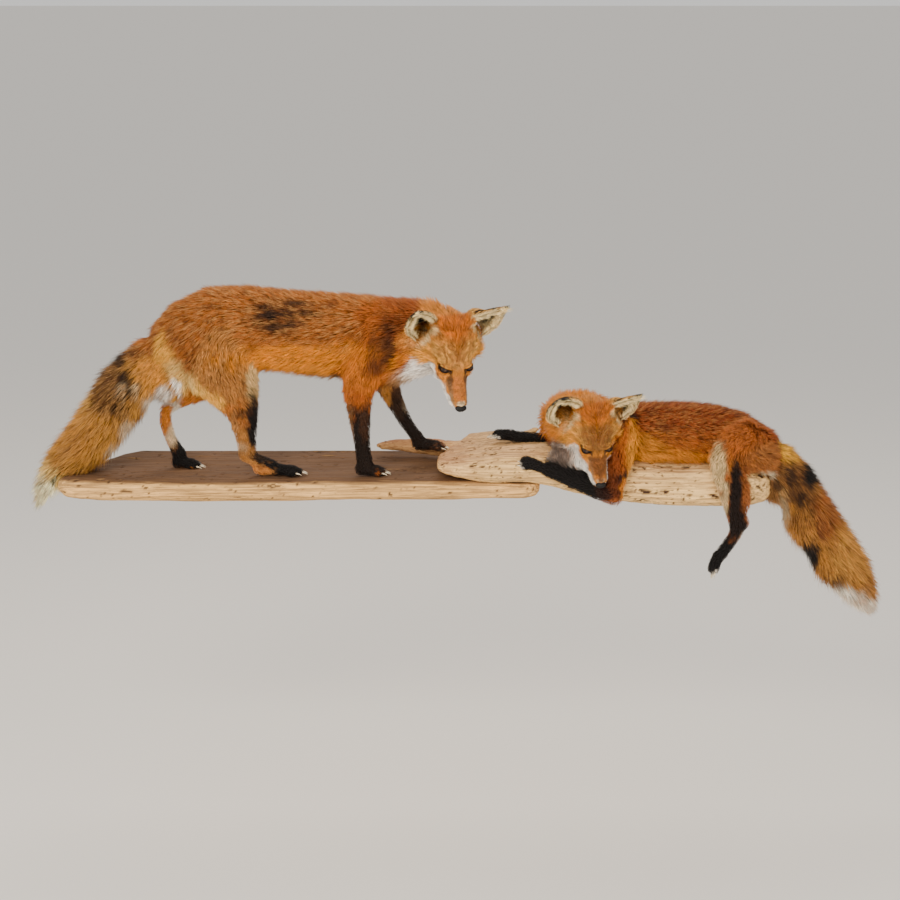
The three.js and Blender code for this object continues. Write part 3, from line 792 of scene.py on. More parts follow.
WALKER_LINES = {
    "neck": [
        (10, -190, 270, 45, 10, 20),
        (-18, -168, 286, 52, 12, 26),
        (-55, -152, 290, 60, 14, 30),
        (-110, -140, 288, 66, 14, 30),
    ],
    "trunk": [
        (-100, -135, 284, 66, 12, 29),
        (-150, -130, 283, 72, 12, 28),
        (-260, -130, 290, 72, 11, 26),
        (-380, -130, 302, 71, 11, 26),
        (-440, -130, 300, 76, 11, 26),
        (-490, -130, 284, 74, 11, 26),
        (-530, -130, 258, 58, 11, 26),
        (-548, -130, 246, 44, 10, 26),
    ],
    "tail": [
        (-518, -130, 266, 33, 9, 23),
        (-549, -131, 241, 45, 13, 27),
        (-581, -132, 207, 51, 16, 31),
        (-612, -134, 171, 53, 17, 32),
        (-645, -136, 128, 53, 17, 32),
        (-682, -138, 84, 50, 17, 33),
        (-720, -140, 50, 43, 16, 34),
        (-752, -141, 20, 30, 14, 34),
        (-772, -142, -8, 18, 9, 30),
        (-781, -142, -32, 7, 3, 24),
    ],
    "hind_right": [
        (-425, -148, 296, 58, 11, 25),
        (-428, -156, 250, 64, 11, 25),
        (-420, -162, 214, 60, 10, 23),
        (-402, -166, 180, 43, 9, 19),
        (-389, -165, 145, 28, 6, 15),
        (-385, -164, 110, 21, 4, 11),
        (-383, -163, 82, 17, 3, 9),
        (-388, -163, 60, 15, 2.5, 8),
        (-365, -163, 52, 14, 2.2, 8),
        (-335, -163, 41, 14, 1.8, 7),
        (-290, -163, 34, 14, 1.5, 6),
    ],
    "hind_left": [
        (-440, -108, 250, 50, 10, 24),
        (-450, -104, 205, 46, 9, 21),
        (-480, -102, 178, 29, 6, 16),
        (-514, -102, 158, 18, 4, 12),
        (-541, -103, 141, 15, 3, 10),
        (-544, -104, 115, 13.5, 3, 9),
        (-535, -104, 85, 12.5, 2.5, 8),
        (-525, -104, 62, 14, 2.2, 8),
        (-518, -104, 46, 15, 1.8, 7),
        (-490, -104, 34, 15, 1.5, 6),
    ],
    "fore_right": [
        (-142, -150, 308, 40, 11, 25),
        (-150, -158, 262, 47, 11, 25),
        (-165, -164, 215, 40, 10, 23),
        (-172, -165, 180, 29, 8, 19),
        (-170, -165, 145, 21, 5, 15),
        (-167, -164, 110, 17.5, 3, 10),
        (-165, -163, 76, 15, 2.5, 8),
        (-162, -163, 46, 15, 1.8, 7),
        (-130, -163, 34, 15, 1.5, 6),
    ],
    "fore_left": [
        (-126, -98, 270, 36, 10, 23),
        (-130, -92, 220, 33, 9, 20),
        (-118, -87, 180, 22, 6, 16),
        (-103, -84, 146, 16.5, 4, 12),
        (-88, -82, 116, 14.5, 3, 9),
        (-73, -80, 92, 13, 2.5, 8),
        (-60, -79, 70, 13, 1.8, 7),
        (-25, -79, 64, 14, 1.5, 6),
    ],
}
RESTER_LINES = {
    "neck": [
        (232, -185, 130, 53, 10, 21),
        (222, -164, 128, 60, 12, 26),
        (250, -148, 124, 58, 12, 28),
        (300, -140, 108, 54, 11, 26),
    ],
    "trunk": [
        (216, -140, 88, 40, 11, 25),
        (256, -138, 96, 52, 11, 25),
        (310, -136, 100, 58, 11, 25),
        (370, -132, 102, 61, 11, 25),
        (435, -130, 102, 62, 11, 25),
        (495, -128, 100, 59, 11, 25),
        (545, -128, 94, 54, 11, 25),
        (580, -128, 82, 46, 10, 24),
        (602, -128, 70, 38, 10, 24),
    ],
    "tail": [
        (588, -128, 80, 28, 8, 22),
        (622, -134, 60, 38, 12, 26),
        (652, -136, 16, 45, 14, 29),
        (684, -132, -50, 46, 15, 31),
        (722, -126, -116, 48, 16, 32),
        (764, -119, -176, 46, 17, 33),
        (798, -114, -220, 33, 14, 30),
        (812, -112, -246, 16, 7, 20),
    ],
    "fore_near": [
        (330, -165, 112, 36, 10, 23),
        (320, -190, 76, 32, 9, 20),
        (312, -212, 34, 25, 6, 16),
        (306, -223, 0, 19, 4, 12),
        (268, -230, 12, 19, 3, 9),
        (222, -228, 31, 16, 2.5, 8),
        (178, -220, 47, 14, 1.8, 7),
        (140, -214, 58, 13, 1.5, 6),
    ],
    "fore_far": [
        (215, -112, 84, 18, 3, 9),
        (170, -114, 85, 13.5, 2.5, 8),
        (122, -117, 88, 12.5, 1.8, 7),
        (90, -118, 90, 12, 1.5, 6),
    ],
    "haunch": [
        (528, -180, 84, 28, 9, 21),
        (562, -178, 66, 36, 10, 21),
        (594, -168, 54, 34, 10, 23),
    ],
    "hind_near": [
        (560, -160, 100, 42, 10, 23),
        (535, -176, 88, 43, 10, 23),
        (514, -192, 62, 35, 9, 20),
        (514, -206, 28, 26, 6, 15),
        (522, -213, -6, 20, 4, 11),
        (531, -216, -40, 16, 3, 9),
        (537, -217, -66, 14.5, 2.5, 8),
        (524, -217, -94, 13.5, 2.2, 8),
        (506, -216, -120, 12.5, 1.8, 7),
        (494, -214, -145, 12, 1.5, 6),
    ],
    "hind_far": [
        (560, -92, 92, 38, 10, 21),
        (510, -76, 82, 28, 8, 18),
        (470, -70, 72, 18, 5, 14),
        (430, -66, 66, 14, 2.2, 8),
        (410, -66, 62, 13, 1.5, 6),
    ],
}
# The same from nose to nape in a head's own frame: ahead, left, up, then as above.
HEAD_LINE = [
    (80, 0, -10, 8, 0.8, 4),
    (62, 0, -15, 14, 1.1, 5),
    (42, 0, -15, 18, 1.5, 6),
    (20, 0, -11, 23, 2.0, 8),
    (3, 0, -7, 29, 2.8, 10),
    (-15, 0, -4, 38, 4.5, 14),
    (-35, 0, -3, 48, 7, 20),
    (-60, 0, -2, 54, 9, 26),
    (-88, 0, -6, 52, 12, 32),
]


def trimmed(left_side):
    """How long the head's hair is on the crown, before the ears and by the eyes, as a share of its
    length elsewhere."""
    crown = step(left_side[:, 2], 8, 26) * step(left_side[:, 0], -100, -74)
    before_ear = np.linalg.norm(left_side - EAR_ROOT - 10 * EAR_OPENING, axis=1)
    by_eye = 1 - step(np.linalg.norm(left_side - EYE_CENTRE, axis=1), EYE_RADIUS + 3, EYE_RADIUS + 13)
    return (1 - 0.35 * crown) * (1 - 0.55 * np.exp(-((before_ear / 24) ** 2))) * (1 - 0.6 * by_eye)


SAMPLE_GAP = 7.0
BLOCK = 20000  # places looked up at a time


class Lie:
    """The middle lines of one fox's body, sampled closely enough to be looked up by place. A
    sample is a place, its three sizes, its direction, its share along its line, and the line."""

    def __init__(self, lines, head):
        rows = dict(lines)
        face = np.array(HEAD_LINE, float)
        face[:, :3] = head.world(face[:, :3]) / MM
        face[:, 3:] *= head.scale / MM
        rows["head"] = face
        self.names = list(rows)
        samples = []
        for number, line in enumerate(rows.values()):
            line = np.array(line, float)
            cut = np.linalg.norm(np.diff(line[:, :3], axis=0), axis=1)
            travel = np.concatenate([[0], np.cumsum(cut)])
            steps = np.linspace(0, travel[-1], max(int(travel[-1] / SAMPLE_GAP), 3))
            dense = np.stack([np.interp(steps, travel, column) for column in line.T], axis=1)
            way = np.gradient(dense[:, :3], axis=0)
            way /= np.linalg.norm(way, axis=1)[:, None]
            share = steps / travel[-1]
            samples.append(np.column_stack([dense, way, share, np.full(len(steps), number)]))
        self.samples = np.concatenate(samples)

    def gaps(self, points):
        """Block by block, how far the places lie from every sample, in the limb's half thicknesses."""
        middles, thick = self.samples[:, :3], self.samples[:, 3]
        for start in range(0, len(points), BLOCK):
            block = slice(start, start + BLOCK)
            yield block, np.linalg.norm(points[block, None] / MM - middles, axis=2) / thick

    def at(self, points):
        """For each place: the nearest line's number and, as a blend of all near lines, the half
        thickness, coat depth and hair length in metres, and the hair's direction."""
        samples = self.samples
        nearest = np.empty(len(points), int)
        sizes, way = np.empty((len(points), 3)), np.empty((len(points), 3))
        for block, gap in self.gaps(points):
            weight = (gap.min(axis=1)[:, None] / gap) ** 8
            weight /= weight.sum(axis=1)[:, None]
            sizes[block] = weight @ samples[:, 3:6]
            way[block] = weight @ samples[:, 6:9]
            nearest[block] = samples[gap.argmin(axis=1), 10].astype(int)
        return nearest, sizes * MM, way


# ------------------------------------------------------------------------------------- skins
# One tanned skin over each fox's form. It lies inside the solids by the depth of the coat that
# grows on it, and carries the coat's lie, length, thickness and markings at every corner.

SKIN_VOXEL = 3.0 * MM
SKIN_SWELL = 0.6 * MM  # solids swollen so that they meet, which comes off with the coat's depth
LIMBS = ("hind_right", "hind_left", "fore_right", "fore_left")
WALKER_BODY = ["fox_trunk", "fox_neck", "fox_head", "fox_tail"] + [f"fox_{limb}_leg" for limb in LIMBS]
WALKER_FILLINGS = ["fox_nose", "fox_eye_left", "fox_eye_right"]  # the skin closes behind them
WALKER_COVERED = ["fox_ear_left", "fox_ear_right"] + [f"fox_{limb}_paw" for limb in LIMBS]


def without_ears(shell, head):
    """A fox's solid with its thin ears pressed into the head, because they are made finer below."""
    rise, opening, across = ear_axes()
    for vert in shell.verts:
        left, hand = side_of(head.local(np.array([vert.co])))
        out = (left - EAR_ROOT)[0]
        if out @ rise > 9 and abs(out @ across) < 39 and -35 < out @ opening < 3:
            left = EAR_ROOT + 0.7 * (out - rise * (out @ rise)) + 2 * rise
            vert.co = Vector(head.world(left * (1, hand[0], 1)))
    shell.normal_update()
    return shell


def refined(mesh, chosen):
    """The mesh with the edges between chosen corners halved."""
    shell = bmesh.new()
    shell.from_mesh(mesh)
    shell.verts.ensure_lookup_table()
    edges = [e for e in shell.edges if chosen[e.verts[0].index] and chosen[e.verts[1].index]]
    bmesh.ops.subdivide_edges(shell, edges=edges, cuts=1, use_grid_fill=True)
    bmesh.ops.triangulate(shell, faces=[f for f in shell.faces if len(f.verts) > 4])
    shell.to_mesh(mesh)
    shell.free()
    return mesh


def thinned(mesh, hidden):
    """The mesh with about half its facets, taken where the coat will hide them."""
    body = place("body", mesh)
    body.vertex_groups.new(name="hidden").add(np.flatnonzero(hidden).tolist(), 1.0, "REPLACE")
    fewer = body.modifiers.new("fewer", "DECIMATE")
    fewer.ratio = 0.55
    fewer.vertex_group = "hidden"
    fewer.vertex_group_factor = 1.0
    done = as_modified(body)
    bpy.data.objects.remove(body)
    done.name = mesh.name
    return done


def paw_mask(points, paws):
    """1 on the paws, falling to 0 past the wrist."""
    mask = np.zeros(len(points))
    for paw in paws:
        middle = np.array(paw.at(paw.length * 0.55, 0, paw.width * 0.5))
        far = np.linalg.norm(points - middle, axis=1) / MM - paw.length * 0.75
        mask = np.maximum(mask, 1 - step(far, 0, 14))
    return mask


def on_paws(points, paws):
    return paw_mask(points, paws) > 0.3


def in_face(local, margin=0):
    """Whether each place lies ahead of the ears, at least `margin` inside the face's bounds."""
    ahead, aside, up = local.T
    return (ahead > margin - 26) & (np.abs(aside) < 46 - margin) & (np.abs(up + 8) < 40 - margin)


def skin_mesh(name, shells, head, lie, paws):
    """One closed skin: melted, smoothed, sunk by the coat's depth, with a face drawn into it."""
    mesh = melted(name, shells, SKIN_VOXEL, SKIN_SWELL)
    edges = joints_of(mesh)
    points = read(mesh.vertices, "co")
    # The melted solids are smoothed, least on face and paws, and sunk by the coat's depth.
    ahead, aside, up = head.local(points).T
    face = step(ahead, -40, -10) * step(np.abs(aside), 60, 45) * step(np.abs(up), 62, 50)
    fine = np.maximum(face, paw_mask(points, paws))[:, None]
    points = relaxed(points, edges, 14, 0.55 * (1 - 0.75 * fine))
    moved(mesh, points)
    normals = relaxed(read(mesh.vertices, "normal"), edges, 3)
    _, sizes, _ = lie.at(points)
    depth = relaxed(sizes[:, 1:2], edges, 12)[:, 0] + SKIN_SWELL
    left, _ = side_of(head.local(points))
    depth *= trimmed(left)
    points = relaxed(points - normals * depth[:, None], edges, 5, 0.5 * (1 - 0.7 * fine))
    moved(mesh, points)
    # Finer facets on face and paws, and finer still round the eyes.
    mesh = refined(mesh, in_face(head.local(points)) | on_paws(points, paws))
    left, _ = side_of(head.local(read(mesh.vertices, "co")))
    mesh = refined(mesh, np.linalg.norm(left - EYE_CENTRE, axis=1) < 17)
    edges = joints_of(mesh)
    points = read(mesh.vertices, "co")
    face = in_face(head.local(points), 2)
    points = relaxed(points, edges, 5, 0.5 * (face | on_paws(points, paws))[:, None])
    moved(mesh, faced(head, points))
    return thinned(mesh, ~(face | on_paws(points, paws)))


def with_ears(mesh, head):
    """The skin with both ears joined on, and a note for each corner, all 0 off the ears."""
    places, faces = [read(mesh.vertices, "co")], [tuple(p.vertices) for p in mesh.polygons]
    notes = [np.zeros((len(mesh.vertices), 10))]
    for hand in (1, -1):
        spots, quads, ear_notes = ear(head, hand)
        base = sum(len(part) for part in places)
        faces += [tuple(i + base for i in quad) for quad in quads]
        places.append(spots)
        notes.append(ear_notes)
    whole = bpy.data.meshes.new(mesh.name)
    whole.from_pydata(np.concatenate(places).tolist(), [], faces)
    whole.update()
    whole.shade_smooth()
    return whole, np.concatenate(notes)


def fullness(masses):
    """Closed ellipsoids of loose skin: a middle and three half lengths in millimetres, then a turn
    about the wall's axis in degrees."""
    shells = []
    for x, y, z, *radii, turn in masses:
        spot = Matrix.Translation(Vector((x, y, z)) * MM) @ Matrix.Rotation(math.radians(turn), 4, "Y")
        shells.append(ellipsoid(spot @ Matrix.Diagonal((*radii, 1)), 24, 16, radius=MM))
    return shells


WALKER_FULLNESS = [
    (-526, -122, 200, 42, 38, 44, 0),  # under the tail
    (-624, -134, 193, 40, 44, 72, 40),  # the brush's back
]
RESTER_FULLNESS = [
    (226, -200, 50, 52, 32, 30, 20),  # the chest
    (262, -196, 22, 30, 26, 22, 20),
    (622, -142, 12, 42, 46, 50, -25),  # the brush's root and its inner side
    (684, -134, -74, 44, 44, 70, -30),
    (738, -122, -156, 42, 42, 60, -36),
    (590, -154, 92, 30, 26, 24, 30),
    (545, -214, 4, 18, 18, 44, -8),  # back of the shank and point of the hock
    (549, -217, -54, 13, 13, 16, 0),
]


def ear_muscles(head):
    """The swellings between the crown and the ears' inner edges."""
    spots = [head.world((-68, hand * 28, 34)) / MM for hand in (1, -1)]
    return [(*spot, 15, 15, 15, 0) for spot in spots]


lies = {"walker": Lie(WALKER_LINES, WALKER_HEAD), "rester": Lie(RESTER_LINES, RESTER_HEAD)}
skins = {}
shells = [welded(node) for node in WALKER_BODY + WALKER_FILLINGS]
shells += fullness(WALKER_FULLNESS + ear_muscles(WALKER_HEAD))
shells += [shell for paw in WALKER_PAWS for shell in paw_shells(paw)]
skins["walker"] = with_ears(
    skin_mesh("walker_skin", shells, WALKER_HEAD, lies["walker"], WALKER_PAWS), WALKER_HEAD
)
shells = [without_ears(welded("second_fox"), RESTER_HEAD)]
shells += fullness(RESTER_FULLNESS + ear_muscles(RESTER_HEAD))
shells += [shell for paw in RESTER_PAWS for shell in paw_shells(paw)]
skins["rester"] = with_ears(
    skin_mesh("rester_skin", shells, RESTER_HEAD, lies["rester"], RESTER_PAWS), RESTER_HEAD
)


# ---------------------------------------------------------------------------------- markings
# The red fox's colours, laid on both skin and hair: black stockings and ear backs, white lips
# and throat, a grizzled back, pale belly and brush tip. A row is a soft-edged patch: its middle
# and its reach in millimetres, its colour, and how fully it covers what is under it. Patches
# are grouped by the lines of the body that they lie on.

WALKER_GROUND = {
    "neck": "#A2521A",
    "trunk": "#AC6222",
    "tail": "#BE8636",
    "hind_right": "#C48440",
    "hind_left": "#D07E2C",
    "fore_right": "#CC6E22",
    "fore_left": "#7A4E30",
    "head": "#DC8E36",
}
WALKER_PATCHES = {
    "trunk neck hind_right hind_left fore_right": [
        (-250, -130, 248, 190, 160, 32, "#F09410", 0.9),  # bright lower flank
        (-316, -195, 328, 54, 50, 30, "#5E381C", 0.72),  # dark worn patch on the flank
        (-282, -200, 350, 22, 50, 8, "#2A1A10", 0.85),
        (-342, -200, 346, 12, 50, 7, "#2A1A10", 0.85),
        (-334, -195, 330, 14, 50, 10, "#241812", 0.9),
        (-328, -195, 310, 12, 50, 9, "#2A1A10", 0.85),
        (-306, -195, 334, 14, 50, 7, "#241812", 0.85),
        (-272, -200, 334, 13, 50, 6, "#2A1A10", 0.8),
        (-366, -200, 330, 12, 50, 5, "#33221A", 0.8),
        (-292, -195, 314, 12, 50, 6, "#33221A", 0.75),
        (-246, -195, 330, 12, 50, 5, "#54341C", 0.7),
        (-222, -190, 345, 16, 50, 6, "#64391C", 0.7),
        (-140, -190, 318, 50, 90, 34, "#B05C18", 0.75),  # rusty shoulder
        (-160, -190, 226, 48, 70, 40, "#D67C22", 0.8),
        (-138, -198, 234, 28, 60, 17, "#86461A", 0.85),  # painted shadow on the upper arm
        (-106, -195, 314, 28, 50, 20, "#743612", 0.7),  # dark nape
        (-112, -200, 276, 15, 40, 42, "#3C1C0C", 0.9),  # shade behind the cheek
        (-136, -190, 262, 18, 40, 38, "#6E3814", 0.75),
        (-52, -200, 224, 38, 60, 24, "#FFFAF2", 1.0),  # white throat
        (-78, -195, 206, 20, 60, 14, "#FFF4E2", 0.9),
        (-536, -170, 252, 20, 80, 36, "#FFC050", 1.0),  # gold edge of the haunch
        (-514, -178, 212, 24, 60, 32, "#FFD684", 1.0),
        (-486, -182, 184, 34, 60, 22, "#FFCC68", 1.0),
        (-446, -186, 168, 32, 60, 18, "#FFC054", 1.0),
        (-500, -182, 198, 26, 60, 24, "#FFD684", 1.0),
        (-526, -130, 180, 20, 66, 30, "#FFFAF2", 1.0),  # white under the tail
        (-546, -130, 162, 18, 66, 14, "#FFFAF2", 1.0),
    ],
    "trunk": [(-262, -130, 206, 190, 90, 12, "#9C7448", 0.85)],  # duller belly fringe
    "tail": [
        (-562, -165, 222, 30, 90, 50, "#E09A3C", 0.95),  # orange-brown root
        (-598, -150, 260, 40, 90, 20, "#7E4A22", 0.9),  # rusty, then dark along the top
        (-636, -160, 246, 30, 90, 20, "#17110E", 1.0),
        (-662, -160, 216, 16, 90, 14, "#17110E", 0.95),
        (-634, -160, 204, 34, 80, 34, "#553820", 0.9),
        (-604, -170, 208, 14, 60, 18, "#2A1A10", 0.9),
        (-596, -180, 184, 8, 60, 12, "#231812", 0.85),
        (-612, -176, 186, 6, 60, 16, "#CDBB98", 0.8),
        (-588, -180, 190, 5, 60, 18, "#CDBB98", 0.7),
        (-578, -176, 196, 5, 60, 14, "#2A1A10", 0.7),
        (-650, -165, 166, 34, 80, 28, "#583816", 0.9),
        (-686, -150, 158, 16, 70, 40, "#D8A850", 0.8),  # paler outer edge
        (-618, -170, 148, 18, 60, 16, "#553C22", 0.7),
        (-706, -150, 110, 44, 80, 50, "#D0903A", 0.75),
        (-540, -150, 176, 14, 90, 22, "#FFFAF2", 1.0),  # white root below
        (-562, -150, 156, 18, 90, 20, "#E6DECE", 0.85),  # pale fringe under the brush
        (-583, -150, 128, 9, 60, 9, "#17120F", 0.9),
        (-608, -150, 98, 14, 80, 28, "#E6DCC6", 0.7),
        (-636, -150, 62, 14, 80, 20, "#E0D4BC", 0.6),
        (-766, -150, 12, 44, 80, 32, "#FFDC84", 0.95),
        (-784, -142, -18, 44, 80, 40, "#FFFAD0", 1.0),  # cream tip
    ],
    "hind_right": [
        (-370, -168, 200, 11, 60, 36, "#F0CC8C", 0.9),  # cream front of the thigh
        (-395, -180, 150, 30, 34, 24, "#C8762C", 0.85),
        (-367, -180, 124, 15, 40, 56, "#1A1210", 1.0),  # black stripe down the shank
        (-388, -184, 146, 16, 30, 9, "#4A2810", 0.8),
        (-404, -176, 108, 8, 34, 44, "#C88C50", 0.7),
        (-384, -176, 126, 10, 34, 9, "#A85E22", 0.7),
        (-392, -163, 76, 16, 34, 9, "#E0BC90", 0.7),
        (-362, -163, 36, 34, 40, 10, "#DE8E44", 0.95),  # orange heel
        (-302, -163, 48, 62, 40, 16, "#120F0E", 1.0),  # black foot
        (-296, -163, 36, 36, 40, 22, "#120F0E", 1.0),
        (-350, -163, 62, 26, 40, 12, "#1E1511", 0.95),
    ],
    "hind_left": [
        (-520, -104, 126, 11, 30, 42, "#F0E6D0", 0.95),
        (-528, -104, 84, 14, 30, 24, "#E6CFA8", 0.85),
        (-506, -104, 82, 13, 30, 28, "#110E0D", 1.0),
        (-502, -104, 44, 46, 40, 30, "#110E0D", 1.0),
    ],
    "fore_right": [
        (-160, -164, 74, 52, 40, 92, "#22160F", 1.0),  # black stockings
        (-186, -176, 96, 6, 30, 66, "#8A5C34", 0.8),
        (-156, -184, 124, 14, 14, 44, "#553420", 0.7),
    ],
    "fore_left": [
        (-70, -84, 96, 70, 40, 60, "#22160F", 1.0),
        (-100, -84, 150, 22, 40, 34, "#3A281C", 0.8),
        (-122, -98, 168, 9, 34, 54, "#E09C4C", 0.9),
        (-84, -100, 152, 8, 24, 26, "#9A8468", 0.6),
    ],
}
RESTER_GROUND = {
    "neck": "#DC8826",
    "trunk": "#984616",
    "tail": "#BE8236",
    "fore_near": "#151110",
    "fore_far": "#151110",
    "haunch": "#B26C30",
    "hind_near": "#B46426",
    "hind_far": "#8A4A20",
    "head": "#DC8C2C",
}
RESTER_PATCHES = {
    "trunk neck haunch hind_near": [
        (424, -150, 60, 130, 110, 54, "#B8681E", 0.6),  # golden side, fading upwards
        (420, -150, 48, 110, 110, 34, "#DC8A22", 0.85),
        (358, -185, 68, 40, 70, 44, "#DE9228", 0.8),
        (308, -190, 90, 22, 60, 50, "#8A3E14", 0.75),
    ],
    "trunk neck": [
        (212, -190, 66, 50, 70, 30, "#9A8A80", 1.0),  # grey chest, darkened as painted shade under the head
        (252, -200, 38, 36, 60, 26, "#7C6C62", 0.95),
        (188, -190, 66, 14, 60, 20, "#C4B6A8", 0.85),
        (288, -215, 60, 16, 60, 40, "#7A3A14", 0.95),  # red-brown behind the muzzle
    ],
    "fore_near": [
        (326, -200, 84, 36, 60, 50, "#BC6418", 1.0),
        (300, -215, 62, 20, 60, 40, "#94481A", 0.95),
        (302, -224, 16, 20, 60, 26, "#6E3414", 0.95),
        (282, -228, 6, 14, 60, 20, "#2E1810", 0.9),
        (340, -205, 54, 15, 50, 80, "#E89C2C", 0.95),  # golden edge of the upper arm
        (326, -222, 4, 12, 34, 30, "#DC8424", 0.95),
        (302, -224, -12, 20, 34, 8, "#A85A24", 0.8),
    ],
    "hind_near haunch": [
        (502, -205, 44, 14, 50, 46, "#E4C892", 0.95),  # cream front of the thigh
        (514, -205, -6, 8, 50, 40, "#DEC494", 0.9),
        (532, -226, 0, 13, 40, 58, "#221510", 1.0),  # black shank and foot
        (540, -230, -58, 22, 34, 34, "#221510", 1.0),
        (554, -216, 14, 10, 44, 44, "#A65E2A", 0.95),
        (560, -216, -26, 10, 44, 30, "#A86232", 0.9),
        (512, -216, -122, 44, 40, 42, "#151110", 1.0),
        (545, -216, -98, 7, 34, 24, "#B08A62", 0.6),
        (590, -190, 24, 24, 60, 12, "#F0E2BE", 0.95),
    ],
    "tail": [
        (640, -160, 70, 24, 80, 24, "#F2B634", 0.95),  # yellow root
        (622, -165, 8, 46, 80, 40, "#7A5428", 0.95),
        (652, -165, 2, 40, 80, 38, "#64401E", 0.95),
        (640, -165, 24, 9, 60, 14, "#2A180C", 0.85),
        (662, -165, -20, 10, 60, 16, "#2A180C", 0.85),
        (616, -165, 6, 8, 60, 14, "#3A2412", 0.8),
        (682, -165, -36, 9, 60, 14, "#3A1E0E", 0.8),
        (704, -150, -84, 8, 60, 16, "#6E3414", 0.7),
        (690, -150, -104, 7, 60, 14, "#7A5024", 0.7),
        (628, -165, -10, 8, 60, 12, "#C09A60", 0.7),
        (668, -160, -66, 30, 80, 24, "#8A5C28", 0.6),
        (688, -160, 28, 22, 80, 34, "#120D0B", 1.0),  # black gland patch
        (716, -150, -50, 28, 70, 50, "#8E4A1C", 0.9),
        (634, -150, -56, 14, 80, 34, "#C8B694", 0.8),
        (764, -150, -140, 44, 70, 56, "#E0A44C", 0.85),
        (724, -150, -196, 22, 70, 14, "#5A3A1C", 0.7),
        (748, -150, -190, 10, 70, 22, "#4A2A12", 0.8),
        (688, -160, -150, 20, 80, 48, "#1A120D", 1.0),
        (742, -150, -222, 54, 80, 24, "#FFF8E8", 1.0),  # white tip
        (800, -140, -246, 34, 80, 16, "#FFF8E8", 0.9),
    ],
}
# On a head's own frame, mirrored on both sides.
HEAD_PATCHES = [
    (-60, 0, 48, 30, 34, 22, "#DA740C", 0.9),  # orange crown
    (-22, 22, 18, 26, 26, 18, "#F0B45A", 0.9),  # tan brow and cheek
    (-34, 46, -8, 34, 24, 28, "#F2AA42", 0.9),
    (-10, 0, 20, 24, 14, 12, "#E0A254", 0.8),
    (-66, 52, 0, 16, 15, 24, "#DDB478", 0.95),  # inside the ear's cup, with painted shade at its middle
    (-79, 49, -3, 10, 10, 11, "#17100C", 1.0),
    (-58, 60, -20, 10, 12, 13, "#FFE8B4", 1.0),  # cream hair that closes the cup in front
    (-50, 53, -6, 9, 12, 14, "#FFE8B4", 1.0),
    (-49, 45, 12, 8, 10, 14, "#FFE2A8", 1.0),
    (-57, 36, 30, 8, 8, 12, "#FADA9C", 0.95),
    (-2, 31, 6, 6, 5, 4, "#2A180E", 0.9),  # dark corners of the lids
    (13, 13.5, 11, 6, 4, 5, "#22140C", 0.9),
    (-64, 56, -20, 22, 26, 34, "#E6983A", 0.85),
    (38, 0, -2, 42, 15, 12, "#D0803A", 1.0),  # orange top of the muzzle
    (20, 14, 3, 13, 5, 6, "#6E4A2E", 0.8),  # tear mark
    (38, 15, -4, 18, 5, 6, "#9A7450", 0.75),
    (56, 13, -9, 12, 5, 4, "#A88862", 0.7),
    (28, 26, -27, 64, 17, 15, "#FFFAF2", 1.0),  # white lips, chin and throat
    (-34, 42, -38, 46, 22, 13, "#FFFAF2", 1.0),
    (60, 14, -19, 22, 12, 8, "#FFFAF2", 1.0),
    (68, 4, -3, 6, 14, 4, "#DCC298", 0.9),
    (-34, 0, -56, 66, 64, 24, "#FFF8EE", 1.0),
]
RESTER_FACE = [
    (38, 0, 0, 42, 13, 11, "#845024", 0.9),
    (-14, 0, 24, 36, 28, 22, "#8E5E2C", 0.75),
    (-64, 0, 40, 30, 26, 20, "#CC7420", 0.7),
    (6, 63, -44, 44, 23, 20, "#86756A", 1.0),  # grey chest beside the jaw, darkened as painted shade under the head
]
TOE_HAIR = "#EFE6D8"


def painted(colours, points, patches, seed):
    """Colours with each patch laid over them, its edge broken up as hairs break it."""
    rough = (noise(points, 11 * MM, seed) - 0.5) * 0.55 + (noise(points, 4 * MM, seed + 1) - 0.5) * 0.35
    for *numbers, code, strength in patches:
        middle, reach = np.array(numbers[:3]), np.array(numbers[3:])
        far = np.linalg.norm((points / MM - middle) / reach, axis=1)
        cover = strength * (1 - step(far + rough, 0.78, 1.22))
        colours += (np.array(linear(code)) - colours) * cover[:, None]
    return colours


def marked(points, head, lie, ground, patches, face, paws):
    """The coat's colour at each place."""
    nearest, _, _ = lie.at(points)
    colours = np.array([linear(ground[name]) for name in lie.names])[nearest]
    for lines, rows in patches.items():
        here = np.isin(nearest, [lie.names.index(name) for name in lines.split()])
        colours[here] = painted(colours[here], points[here], rows, 11)
    left, _ = side_of(head.local(points))
    names = np.array(lie.names)[nearest]
    here = (names == "head") | ((names == "neck") & (left[:, 0] > -84))
    colours[here] = painted(colours[here], left[here] * MM, face, 21)
    # White hairs between the toes.
    for paw in paws:
        for reach, side, thick in paw.toes():
            gap = points - np.array(paw.at(reach + thick * 0.9, side + thick * 0.7, thick))
            tuft = 1 - step(np.linalg.norm(gap / MM, axis=1), 3.0, 5.5)
            colours += (np.array(linear(TOE_HAIR)) - colours) * (tuft * 0.85)[:, None]
    return colours


# ------------------------------------------------------------------- the coat's growth on skin
# What the tufts read at their roots: which way and how far they lie, their length, how closely
# they grow, their colour, how grizzled they are, and the piece of the coat they belong to.

